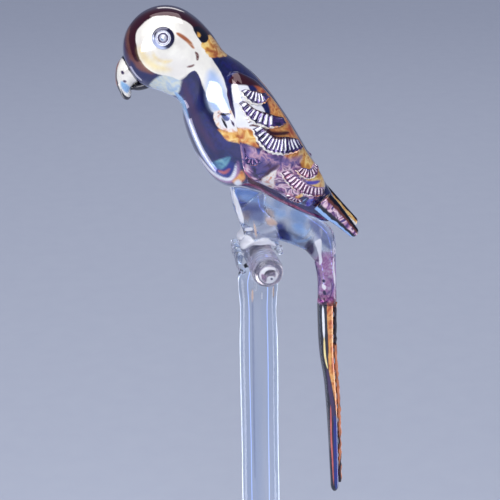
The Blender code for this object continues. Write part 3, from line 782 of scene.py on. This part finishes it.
# Painted on the rod: the blue-grey line stands in for what is seen through it, the peach streaks are painted
# reflections of the gold lustre, and the white line is a painted highlight.
ROD_PATCHES = (
    (SMOKE, ((-1.6, -6.4), (-1.6, -16), (-1.65, -30), (-1.65, -50)), 0.12, 0.3, 0.1),
    (PEACH, ((-1.6, -6.4), (-1.6, -7.8), (-1.65, -9.6)), 0.22, 0.2, 0.3),
    (PEACH, ((2.9, -6.2), (2.8, -7.7), (2.9, -9.4)), 0.26, 0.2, 0.3),
    (WHITE, ((0.3, -6.8), (0.3, -9.4)), 0.12, 0.1, 0.1),
)

# Patches on the bar's ends, across and up from its middle. The white ring and the white middle are painted
# highlights, and the dark crescent is painted shade.
BAR_PATCHES = (
    (WHITE, ((1.5, 0), (0.75, 1.3), (-0.75, 1.3), (-1.5, 0), (-0.75, -1.3), (0.75, -1.3), (1.5, 0),
     (0.75, 1.3)), 0.45, 0.3, 0.5),
    (ROSE, ((-1.5, 0.3), (-1.4, -0.7), (-0.8, -1.3), (-0.7, -0.1)), 0, 0.3, 0.4),
    (WHITE, ((-0.3, -0.1), (0.6, -0.1), (1, -0.6), (0.3, -1.2), (-0.5, -0.8)), 0, 0.25, 0.4),
    (INK, ((-1.0, 0.1), (-0.5, 0.7), (0.4, 0.9), (1.2, 0.7)), 0.22, 0.2, 0.3),
    (SMOKE, ((0.3, -0.6), (0.5, -0.8)), 0.2, 0.1, 0.1),
)


# Light, floor and camera -------------------------------------------------------------------------


BREAST = (20 + PERCH_HEIGHT) * MM
ROD_MIDDLE = 0.066
PLAIN, COOL = (255, 255, 255), (150, 180, 255)
# Each light: azimuth and elevation in degrees; distance, width and height in metres; radiance; the
# height it is aimed at, in metres; colour. The strips draw the bright edges of the clear glass.
LIGHTS = {
    "key": (-24, 30, 0.75, 0.62, 0.62, 4.2, BREAST, PLAIN),
    "overhead": (10, 84, 2.6, 3.0, 3.0, 1.5, BREAST, PLAIN),
    "back": (172, 24, 0.8, 0.3, 0.16, 1.6, BREAST, PLAIN),
    "left_strip": (-108, 0, 0.15, 0.05, 0.116, 2.6, ROD_MIDDLE, PLAIN),
    "right_strip": (95, 0, 0.15, 0.05, 0.116, 2.6, ROD_MIDDLE, PLAIN),
    "left_thin_strip": (-167, 0, 0.15, 0.004, 0.116, 1.2, ROD_MIDDLE, COOL),
    "right_thin_strip": (152, 0, 0.15, 0.004, 0.116, 1.2, ROD_MIDDLE, COOL),
}


def direction(azimuth, elevation):
    """Towards a viewer at that azimuth, where 0 stands at -Y, and elevation."""
    turn, rise = math.radians(azimuth), math.radians(elevation)
    return np.array([math.sin(turn) * math.cos(rise), -math.cos(turn) * math.cos(rise), math.sin(rise)])


def camera():
    """A long lens a little above the bird, on its left."""
    data = bpy.data.cameras.new("camera")
    data.sensor_width = 36
    data.lens = 115.2
    data.clip_start = 0.01
    data.clip_end = 50
    obj = linked("camera", data)
    azimuth, elevation, roll, distance = -6.6, 20, -0.9, 326.4
    back = direction(azimuth, elevation)
    right = np.array([math.cos(math.radians(azimuth)), math.sin(math.radians(azimuth)), 0])
    up = np.cross(back, right)
    tilt = math.radians(roll)
    x_axis = math.cos(tilt) * right + math.sin(tilt) * up
    y_axis = -math.sin(tilt) * right + math.cos(tilt) * up
    target = np.array(place(-1.535, 0, 0.524))
    matrix = Matrix(np.column_stack([x_axis, y_axis, back]).tolist()).to_4x4()
    matrix.translation = target + back * distance * MM
    obj.matrix_world = matrix
    bpy.context.scene.camera = obj


def softbox(name, azimuth, elevation, distance, width, height, radiance, aim, colour):
    """A rectangular light that faces the line of the rod at the height of its aim."""
    data = bpy.data.lights.new(name, "AREA")
    data.shape = "RECTANGLE"
    data.size = width
    data.size_y = height
    data.energy = radiance * math.pi * width * height
    data.color = linear(colour)[:3]
    obj = linked(name, data)
    back = direction(azimuth, elevation)
    obj.location = np.array((0, 0, aim)) + back * distance
    obj.rotation_euler = Vector(back).to_track_quat("Z", "Y").to_euler()
    obj.visible_camera = False


def studio():
    """A plain pale floor under a dim sky, and the lights."""
    scene = bpy.context.scene
    scene.view_settings.view_transform = "Standard"
    world = bpy.data.worlds.new("studio")
    world.use_nodes = True
    background = world.node_tree.nodes["Background"]
    background.inputs["Color"].default_value = linear((110, 118, 146))
    background.inputs["Strength"].default_value = 0.8
    scene.world = world
    bpy.ops.mesh.primitive_plane_add(size=10, location=(0, 0, 0))
    floor = bpy.context.object
    floor.name = "floor"
    shader = Shader("floor_paper")
    grain = shader.noise(9.0, 4)
    shader.set(shader.main, "Base Color", shader.mix(grain, linear((186, 192, 208)), linear((192, 198, 212))))
    shader.main.inputs["Roughness"].default_value = 0.9
    floor.data.materials.append(shader.material)
    for name, light in LIGHTS.items():
        softbox(name, *light)


# Pieces ------------------------------------------------------------------------------------------


def body_piece(form):
    obj = loft("body_glass", form.rings(150, 120))
    paint(obj, BODY_PATCHES)
    coat = lustre("body_lustre", SLATE, BODY_PATCHES, lit_patch=len(BODY_PATCHES) - 1)
    keep(obj, [coat], "lustre_glass", "body")


def beaks():
    coat = lustre("beak_lustre", INK, BEAK_PATCHES)
    for node, stations, cap in (("upper_beak", UPPER_BEAK, 1.7), ("lower_beak", LOWER_BEAK, 0.8)):
        obj = loft(node + "_glass", Form(stations, end_cap=cap).rings(40, 48))
        paint(obj, BEAK_PATCHES)
        keep(obj, [coat], "lustre_glass", node)


def eye_frame(body, side):
    """Where the eye sits, and the turn that stands it on the cheek."""
    s, angle = EYE_PLACE
    middle = np.array(body.point(s, angle, 0, side))
    down = np.array(body.point(s + 0.5, angle, 0, side)) - middle
    across = np.array(body.point(s, angle + 3, 0, side)) - middle
    out = np.cross(down, across)
    out *= math.copysign(1, out[1] * side) / np.linalg.norm(out)
    return Matrix.Translation(middle) @ Vector(out).to_track_quat("Z", "Y").to_matrix().to_4x4()


def eyes(body):
    """A dark glass ring and a clear, stepped bead within it."""
    ring_coat = eye_ring_lustre()
    bead_coat = eye_bead_glass()
    for side_name, side in SIDES:
        stand = eye_frame(body, side)
        ring = turned(side_name + "_eye_ring_glass", EYE_RING + EYE_RING[:1], ends=False)
        bead = turned(side_name + "_eye_bead_glass", EYE_BEAD)
        for obj, coat, node, slot in (
            (ring, ring_coat, "_eye_ring", "pearl_glass"),
            (bead, bead_coat, "_eye_bead", "clear_glass"),
        ):
            store(obj, "radius", np.hypot(*positions(obj)[:, :2].T))
            smooth = obj.modifiers.new("Soft steps", "SUBSURF")
            smooth.levels = smooth.render_levels = 1
            obj.data.transform(stand)
            away = positions(obj) - positions(obj).mean(axis=0)
            # Painted light: how far each place lies towards the lower front, where the ring is painted
            # lighter and the bead's middle darker.
            store(obj, "lower_front_shading", -(away[:, 0] + away[:, 2]) / 3.2)
            keep(obj, [coat], slot, side_name + node)


def eye_ring_lustre():
    shader = Shader("eye_ring_lustre")
    colour = shader.mix(shader.noise(0.9, 3), linear(INK), linear((44, 40, 88)))
    # Painted light: the ring is lighter towards its lower front.
    colour = shader.bands(shader.attribute("lower_front_shading"), colour, (0.25, 0.7, LAVENDER))
    colour = shader.bands(shader.attribute("radius"), colour, (1.46, 1.36, WHITE), (2.1, 2.2, CREAM))
    shader.glaze(colour, 0.4, shader.ramp(shader.noise(0.5), 0.3, 0.7, 0.04, 0.1))
    return shader.material


def eye_bead_glass():
    shader = Shader("eye_bead_lustre")
    radius = shader.attribute("radius")
    milky = shader.mix(shader.noise(0.6, 3), linear(WHITE), linear((190, 190, 214)))
    dark = shader.math("MULTIPLY", shader.ramp(radius, 0.62, 0.76), shader.ramp(radius, 1.08, 0.92))
    colour = shader.mix(dark, milky, linear((58, 44, 88)))
    # Painted shade: the bead's middle is darker towards its lower front.
    pupil = shader.math("MULTIPLY", shader.ramp(radius, 0.62, 0.3), shader.attribute("lower_front_shading"))
    colour = shader.bands(pupil, colour, (0.02, 0.12, (120, 150, 190)))
    shader.glaze(colour, 0.3, shader.ramp(shader.noise(0.5), 0.3, 0.7, 0.03, 0.08))
    return shader.material


def wing_edges(s):
    """Lowest and highest angle of the wing pad at distance s down the body."""
    rows = np.array(WING_EDGES, float)
    return np.interp(s, rows[:, 0], rows[:, 1]), np.interp(s, rows[:, 0], rows[:, 2])


def wing_lift(s, angle):
    """Height of the wing pad's outer face over the body."""
    low, high = wing_edges(s)
    start, stop = WING_EDGES[0][0], WING_EDGES[-1][0]
    across = (2 * angle - low - high) / (high - low)
    along = 2 * (s - start) / (stop - start) - 1
    crown = max(0.0, 1 - abs(across) ** 3) * max(0.0, 1 - abs(along) ** 8)
    slope = 0.5 if across > 0 else 0.5 + 0.5 * min(1.0, -across * 1.4)
    return WING_THICKNESS * crown**slope


def wing(side_name, side, body, coat):
    """The pad of coloured glass that lies along the flank."""
    start, stop = WING_EDGES[0][0], WING_EDGES[-1][0]
    outer, inner = [], []
    for s in np.linspace(start, stop, 110):
        low, high = wing_edges(s)
        angles = low + (high - low) * (1 - np.cos(np.linspace(0, math.pi, 61))) / 2
        outer.append([body.point(s, a, wing_lift(s, a), side) for a in angles])
        inner.append([body.point(s, a, -HIDDEN_OVERLAP, side) for a in angles])
    obj = slab(side_name + "_wing_glass", outer, inner)
    paint(obj, WING_PATCHES)
    keep(obj, [coat], "lustre_glass", side_name + "_wing")


def slab(name, outer, inner):
    """Two grids of points joined by a wall round their rims."""
    mesh = bmesh.new()
    grids = []
    for grid in (outer, inner):
        verts = [[mesh.verts.new(point) for point in row] for row in grid]
        grids.append(verts)
        for low, high in zip(verts, verts[1:]):
            for i in range(len(low) - 1):
                mesh.faces.new((low[i], low[i + 1], high[i + 1], high[i]))
    top, bottom = (
        verts[0] + [row[-1] for row in verts[1:-1]] + verts[-1][::-1] + [row[0] for row in verts[-2:0:-1]]
        for verts in grids
    )
    for i in range(len(top)):
        j = (i + 1) % len(top)
        mesh.faces.new((top[i], top[j], bottom[j], bottom[i]))
    return finished(mesh, name)


def feather(name, node, shape, number, side, body, coat):
    """A crescent dab on the wing pad, pressed into uneven ribs by a comb."""
    middle_s, middle_angle, radius, width, aim, half_sweep, ribs, smooth_end = shape
    _, _, depth, flank, _, _ = body.section(middle_s)
    girth = (depth + flank) / 2 + WING_THICKNESS
    outer, inner, marks = [], [], []
    for sweep in np.linspace(-1, 1, 16 * ribs + 1):
        turn = math.radians(aim + half_sweep * sweep)
        band = width * (0.35 + 0.65 * math.sqrt(1 - sweep**2))
        band *= 1 + 0.08 * math.sin(3.7 * sweep + number)
        phase = (sweep + 1) * math.pi * ribs + 0.8 * math.sin(4.3 * sweep + 1.9 * number)
        bite = min(1.0, max(0.0, (sweep + 1.15 - 2 * smooth_end) / 0.3))
        crest = (0.5 - 0.5 * math.cos(phase)) * bite
        press = 0.85 + 0.15 * math.sin(phase * 0.37 + 2.2 * number)
        outer_row, inner_row = [], []
        for across in np.linspace(-1, 1, 19):
            lobe = 0.16 * (1 - crest) * bite * max(0.0, across) ** 2
            r = radius - band * (1 - across) / 2 + lobe
            s = middle_s + r * math.cos(turn)
            low, high = wing_edges(s)
            angle = middle_angle - math.degrees(r * math.sin(turn) / girth)
            inset = 0.06 * (high - low)
            angle = min(max(angle, low + inset), high - inset)
            base = wing_lift(s, angle)
            crown = math.sqrt(max(0.0, (1 - across**6) * (1 - sweep**10)))
            comb = math.exp(-(((across - 0.05) / 0.75) ** 4)) * press
            rim = math.exp(-(((across - 0.88) / 0.12) ** 2))
            height = FEATHER_RELIEF * crown * (0.55 - 0.45 * comb * (1 - crest) + 0.25 * rim)
            outer_row.append(body.point(s, angle, base + height, side))
            inner_row.append(body.point(s, angle, base - HIDDEN_OVERLAP, side))
            marks.append((crest * press, (across + 1) / 2, sweep))
        outer.append(outer_row)
        inner.append(inner_row)
    obj = slab(name, outer, inner)
    near = nearest(positions(obj), from_bar(outer))
    for column, attribute in enumerate(("rib", "reach", "sweep")):
        store(obj, attribute, np.array(marks)[near, column])
    keep(obj, [coat], "lustre_glass", node)


def nearest(at, marks):
    """For each place the number of the closest mark."""
    tree = KDTree(len(marks))
    for i, mark in enumerate(marks):
        tree.insert(mark, i)
    tree.balance()
    return np.array([tree.find(place)[1] for place in at])


def feather_lustre(name, crest, groove, rim, root):
    """Pale ribs between dark cells, inside a rim that is bright at its front end: the pale crests and bright
    rim are painted highlights, and the dark grooves are painted shade over the lustre's own purple and navy.
    """
    shader = Shader(name)
    uneven = shader.wander(1.1, 4, 0.5)
    crest_edge = shader.shifted(shader.attribute("rib"), uneven, 0.9)
    reach_edge = shader.shifted(shader.attribute("reach"), uneven, 0.3)
    sweep_edge = shader.shifted(shader.attribute("sweep"), uneven, 1.0)
    colour = shader.bands(crest_edge, shader.tint(groove), (0.4, 0.66, crest))
    colour = shader.bands(reach_edge, colour, (0.72, 0.8, groove), (0.26, 0.08, root))
    rim_colour = shader.bands(sweep_edge, shader.tint(rim), (-0.15, -0.5, EMBER), (-0.6, -0.85, groove))
    colour = shader.mix(shader.ramp(reach_edge, 0.86, 0.92), colour, rim_colour)
    shader.mirror(colour, (0.5, 0.15), (0.05, 0.12))
    shader.bump(shader.noise(0.7, 2), 0.4, 0.06)
    return shader.material


def wing_tip_lustre():
    """Mauve outside over a blue lower edge, and gold inside under a dark upper edge; the blue edge and the
    cream band inside are painted highlights.
    """
    shader = Shader("wing_tip_lustre")
    level = shader.shifted(shader.attribute("level"), shader.wander(1.3, 3, 0.5), 0.35)
    face = shader.ramp(shader.attribute("outward"), -0.1, 0.1)
    outside = shader.bands(level, linear(INK), (-0.3, -0.1, LILAC), (0.35, 0.45, BROWN), (0.55, 0.7, INK))
    inside = shader.bands(level, shader.tint(EMBER), (-0.4, -0.1, CREAM), (0.25, 0.4, HONEY), (0.7, 0.8, INK))
    colour = shader.mix(face, inside, outside)
    # Painted highlight: the pale ice stripe along the outer face's lower edge.
    low = shader.math("MULTIPLY", shader.ramp(level, -0.5, -0.62), shader.ramp(level, -0.98, -0.88))
    colour = shader.mix(shader.math("MULTIPLY", low, face), colour, linear(ICE))
    shader.mirror(colour, (0.5, 0.15), (0.05, 0.1), coat_ior=1.5)
    shader.bump(shader.noise(0.9, 3), 0.4, 0.06)
    return shader.material


def wings(body):
    pad_coat = lustre("wing_lustre", SLATE, WING_PATCHES)
    # Painted highlights on the pale crests and rims, painted shade in the dark grooves.
    upper_coat = feather_lustre("upper_feather_lustre", WHITE, UPPER_GROOVES, CREAM, BURGUNDY)
    lower_coat = feather_lustre("lower_feather_lustre", (250, 226, 238), LOWER_GROOVES, SHELL, VEIL)
    faint_coat = feather_lustre("faint_feather_lustre", MAUVE, DUSK, VEIL, DUSK)
    tip_coat = wing_tip_lustre()
    coats = (upper_coat, upper_coat, upper_coat, faint_coat, lower_coat, lower_coat, lower_coat)
    for side_name, side in SIDES:
        wing(side_name, side, body, pad_coat)
        for number, (shape, coat) in enumerate(zip(FEATHERS, coats), 1):
            node = f"{side_name}_wing_feather_{number}"
            feather(node + "_glass", node, shape, number, side, body, coat)
        stations = np.array(WING_TIP)
        if side > 0:
            for row, share in zip(stations[1:], (0, 0.4, 1)):
                row[:2] += np.array(RIGHT_TIP_REACH) * share
        form = Form(stations, end_cap=1.1)
        rings = form.rings(60, 40, y=side * WING_TIP_Y)
        obj = loft(side_name + "_wing_tip_glass", rings)
        turns = np.tile(circle(40), len(rings))[nearest(positions(obj), from_bar(rings))]
        store(obj, "level", np.sin(turns))
        store(obj, "outward", -side * np.cos(turns))
        keep(obj, [tip_coat], "lustre_glass", side_name + "_wing_tip")


def tail_middle(z):
    """How far back the middle of the tail lies at each height."""
    rows = np.array(TAIL)[::-1]
    return np.interp(z, rows[:, 1], rows[:, 0])


def tail():
    """The long blade, with a thin beaded line of glass drawn down its back."""
    obj = loft("tail_glass", Form(TAIL, start_cap=TAIL_ROOT, end_cap=TAIL_TIP).rings(260, 56))
    at = positions(obj)
    paint(obj, TAIL_PATCHES, np.column_stack([at[:, 0] - tail_middle(at[:, 2]), at[:, 2]]))
    keep(obj, [lustre("tail_lustre", INK, TAIL_PATCHES, metallic=0.4)], "lustre_glass", "tail")

    form = Form(TAIL, end_cap=TAIL_TIP)
    rings = []
    steps = 420
    for step in range(steps + 1):
        s = form.length * (0.005 + 0.985 * step / steps)
        x, z, depth, _, lean, _ = form.section(s)
        swell = 0.36 + 0.045 * math.sin(s * 3.1 + 1.5 * math.sin(s * 0.7)) + 0.03 * math.sin(s * 1.3)
        if step in (0, steps):
            swell *= 0.3
        away = depth + 0.4 + 0.05 * math.sin(s * 2.3 + 0.8)
        ring = []
        for turn in circle(14):
            lift = away + swell * math.cos(turn)
            ring.append(place(x - math.sin(lean) * lift, swell * math.sin(turn), z + math.cos(lean) * lift))
        rings.append(ring)
    ridge = loft("tail_ridge_glass", rings)
    shader = Shader("ridge_lustre")
    patches = shader.noise(1.0, 3, (1, 1, 0.16))
    colour = shader.mix(shader.ramp(patches, 0.44, 0.56), linear((34, 16, 34)), linear((216, 130, 84)))
    shader.glaze(colour, 0.5, shader.ramp(shader.noise(0.5, 3), 0.3, 0.8, 0.05, 0.12))
    keep(ridge, [shader.material], "lustre_glass", "tail_ridge")


# Clear glass -------------------------------------------------------------------------------------

FOOT_Y = 2.7
FOOT_SPAN = (35, 150)
FOOT_INNER, FOOT_OUTER = 3.3, 5.0
FOOT_HALF_WIDTH = 2.35
TOES = (
    ("front_toe_inner", 157, 200, 1.2),
    ("front_toe_outer", 157, 224, -1.2),
    ("back_toe", 26, 4, 0.0),
)
TOE_RADIUS = 0.85
TOE_REACH = 4.25


def cross_plane(x, z, heading):
    """A plane's point and its normal, which has a heading in the XZ plane in degrees."""
    turn = math.radians(heading)
    return Vector(place(x, 0, z)), Vector((math.cos(turn), 0, math.sin(turn)))


# Planes that part the melted mass into its gathers.
LEG_PLANE = cross_plane(3.2, 8.5, -12)
FOOT_PLANE = cross_plane(0, 5.0, 90)
SOCKET_PLANE = cross_plane(13.9, -2.4, 94)
MIDDLE_PLANE = (Vector((0, 0, 0)), Vector((0, 1, 0)))


def girth_ring(angle, radius, half_height, half_width, y, turns):
    """An oval ring of points across glass that runs round the bar, at an angle in degrees."""
    heading = math.radians(angle)
    ring = []
    for turn in turns:
        reach = radius + half_height * math.sin(turn)
        across = y + half_width * math.cos(turn)
        ring.append(place(reach * math.cos(heading), across, reach * math.sin(heading)))
    return ring


def foot_rings(side):
    rings = []
    middle, half = (FOOT_INNER + FOOT_OUTER) / 2, (FOOT_OUTER - FOOT_INNER) / 2
    for step in range(41):
        t = step / 40
        angle = FOOT_SPAN[0] + (FOOT_SPAN[1] - FOOT_SPAN[0]) * t
        round_off = math.sqrt(1 - (2 * t - 1) ** 8 * 0.8)
        width = FOOT_HALF_WIDTH * round_off
        rings.append(girth_ring(angle, middle, half * round_off, width, side * FOOT_Y, circle(32)))
    return rings


def melted_mass():
    """Legs, feet, rump and socket, melted into one surface."""
    parts = [
        loft("rump_part", Form(RUMP).rings(60, 48)),
        loft("socket_part", Form(TAIL_SOCKET, end_cap=SOCKET_LIP).rings(60, 40)),
    ]
    for side_name, side in SIDES:
        parts.append(loft(side_name + "_leg_part", Form(LEG).rings(60, 40, y=side * FOOT_Y)))
        parts.append(loft(side_name + "_foot_part", foot_rings(side)))
    mesh = bmesh.new()
    for part in parts:
        mesh.from_mesh(part.data)
        bpy.data.objects.remove(part)
    obj = shaped(mesh, "melted")
    remesh = obj.modifiers.new("Melt", "REMESH")
    remesh.mode = "VOXEL"
    remesh.voxel_size = 0.24 * MM
    soften = obj.modifiers.new("Soften", "SMOOTH")
    soften.factor = 0.5
    soften.iterations = 14
    return evaluated(obj, "melted_mass")


def sliced(mesh, plane, keep_front):
    """One side of the mesh, closed with joint faces where the plane cuts it."""
    middle, normal = plane
    part = mesh.copy()
    found = bmesh.ops.bisect_plane(
        part,
        geom=part.verts[:] + part.edges[:] + part.faces[:],
        plane_co=middle,
        plane_no=normal,
        clear_inner=keep_front,
        clear_outer=not keep_front,
    )
    edges = [item for item in found["geom_cut"] if isinstance(item, bmesh.types.BMEdge)]
    made = bmesh.ops.triangle_fill(part, use_beauty=True, edges=edges)
    for item in made["geom"]:
        if isinstance(item, bmesh.types.BMFace):
            item.material_index = 1
            item.smooth = False
    return part


def clear_gathers():
    """The melted mass parted into legs, feet, rump and socket."""
    glass = clear_glass("gather_glass", depth=0.07, patches=GATHER_PATCHES)
    joint = joint_face()
    whole = melted_mass()
    mesh = bmesh.new()
    mesh.from_mesh(whole.data)
    bpy.data.objects.remove(whole)
    front = sliced(mesh, LEG_PLANE, keep_front=False)
    back = sliced(mesh, LEG_PLANE, keep_front=True)
    pieces = {
        "rump": sliced(back, SOCKET_PLANE, keep_front=True),
        "tail_socket": sliced(back, SOCKET_PLANE, keep_front=False),
    }
    for side_name, side in SIDES:
        half = sliced(front, MIDDLE_PLANE, keep_front=side > 0)
        pieces[side_name + "_leg"] = sliced(half, FOOT_PLANE, keep_front=True)
        pieces[side_name + "_foot"] = sliced(half, FOOT_PLANE, keep_front=False)
    for name, part in pieces.items():
        face_out(part)
        obj = shaped(part, name + "_glass")
        paint(obj, GATHER_PATCHES)
        keep(obj, [glass, joint], "clear_glass", name)


def toes(material):
    """Ropes of glass that run on from each foot round the bar."""
    turns = math.pi / 2 - circle(24)
    for side_name, side in SIDES:
        for toe_name, start, stop, offset in TOES:
            rings = []
            for t in np.linspace(0, 1, 40):
                end = min(t, 1 - t) / 0.12
                round_off = math.sqrt(max(0.0, 1 - max(0.0, 1 - end) ** 2))
                radius = TOE_RADIUS * (1.05 - 0.35 * t) * max(round_off, 0.12)
                angle = start + (stop - start) * t
                y = side * (FOOT_Y - offset)
                rings.append(girth_ring(angle, TOE_REACH, radius, 1.1 * radius, y, turns))
            obj = loft(f"{side_name}_{toe_name}_glass", rings)
            keep(obj, [material], "clear_glass", f"{side_name}_{toe_name}")


def perch():
    """The cross-bar, wavy where the flame softened it, with soft steps at its ends."""
    left, right = 13.8, 8.2
    end = [(0, 0.15), (0.15, 0.15)]
    end += [(r, 0.15 - 0.2 * (r / 1.35) ** 2) for r in np.arange(0.3, 1.4, 0.15)]
    end += [(1.5, -0.1), (1.7, -0.2), (1.85, -0.5), (1.9, -0.75), (2.05, -0.95), (2.35, -1.0)]
    end += [(2.75, -1.2), (3.0, -1.6), (3.15, -2.1), (3.2, -2.6)]
    profile = [(radius, left + inwards) for radius, inwards in end]
    for height in np.arange(left - 3.0, -right + 3.0, -0.2):
        near_end = math.exp(-((left - height - 3) / 4) ** 2)
        profile.append((3.0 + 0.12 * near_end + 0.06 * math.sin(height * 5.5) * (0.3 + near_end), height))
    profile += [(radius, -right - inwards) for radius, inwards in reversed(end)]
    bar = turned("perch_bar_glass", profile)
    at = positions(bar) + (0, 0, PERCH_HEIGHT)
    along = at[:, 2]
    inwards = np.minimum(left - along, along + right)
    for number, (_, points, width, _, _) in enumerate(BAR_PATCHES):
        gap = patch_distance(at[:, :2], points, width)
        store(bar, f"patch_{number}", np.where(inwards < 0.9, gap, 1.0))
    lay = Matrix.Rotation(math.radians(2.7), 4, "Z") @ Matrix.Rotation(math.pi / 2, 4, "X")
    bar.data.transform(Matrix.Translation(place(0, 0, 0)) @ lay)
    glass = clear_glass("bar_glass", (250, 226, 240), depth=0.04, patches=BAR_PATCHES)
    keep(bar, [glass], "clear_glass", "perch_bar")


def rod():
    """The clear stick, a little fuller where it was melted to the bar."""
    top = PERCH_HEIGHT - 2.5
    profile = [(0, top), (1.6, top), (2.6, top - 0.25), (3.3, top - 0.8), (3.8, top - 1.7)]
    for height in np.arange(top - 2.2, 2.0, -0.8):
        below = top - height
        neck = 0.17 * math.exp(-((below - 4) / 2.5) ** 2) - 0.16 * math.exp(-((below - 9.5) / 4) ** 2)
        profile.append((ROD_RADIUS + neck - 0.03 + 0.03 * math.sin(height * 0.21), height))
    profile += [(ROD_RADIUS, 1.0), (3.92, 0.6), (3.75, 0.3), (3.45, 0.08), (3.1, 0), (0, 0)]
    stick = turned("rod_glass", profile, 128)
    saddle = turned("saddle", [(3.2, 20), (3.2, -20)], 128)
    saddle.data.transform(Matrix.Translation(place(0, 0, 0)) @ Matrix.Rotation(math.pi / 2, 4, "X"))
    stick = cut(stick, saddle)
    paint(stick, ROD_PATCHES)
    stick.data.materials.clear()
    stick.data.shade_smooth()
    glass = clear_glass("rod_glass", (206, 222, 248), (1, 1, 0.04), 0.02, ROD_PATCHES)
    keep(stick, [glass], "clear_glass", "rod")


def main():
    camera()
    studio()
    body = Form(BODY, start_cap=8.3, end_cap=2.6)
    body_piece(body)
    beaks()
    eyes(body)
    wings(body)
    tail()
    clear_gathers()
    toes(clear_glass("toe_glass", depth=0.05))
    perch()
    rod()


main()
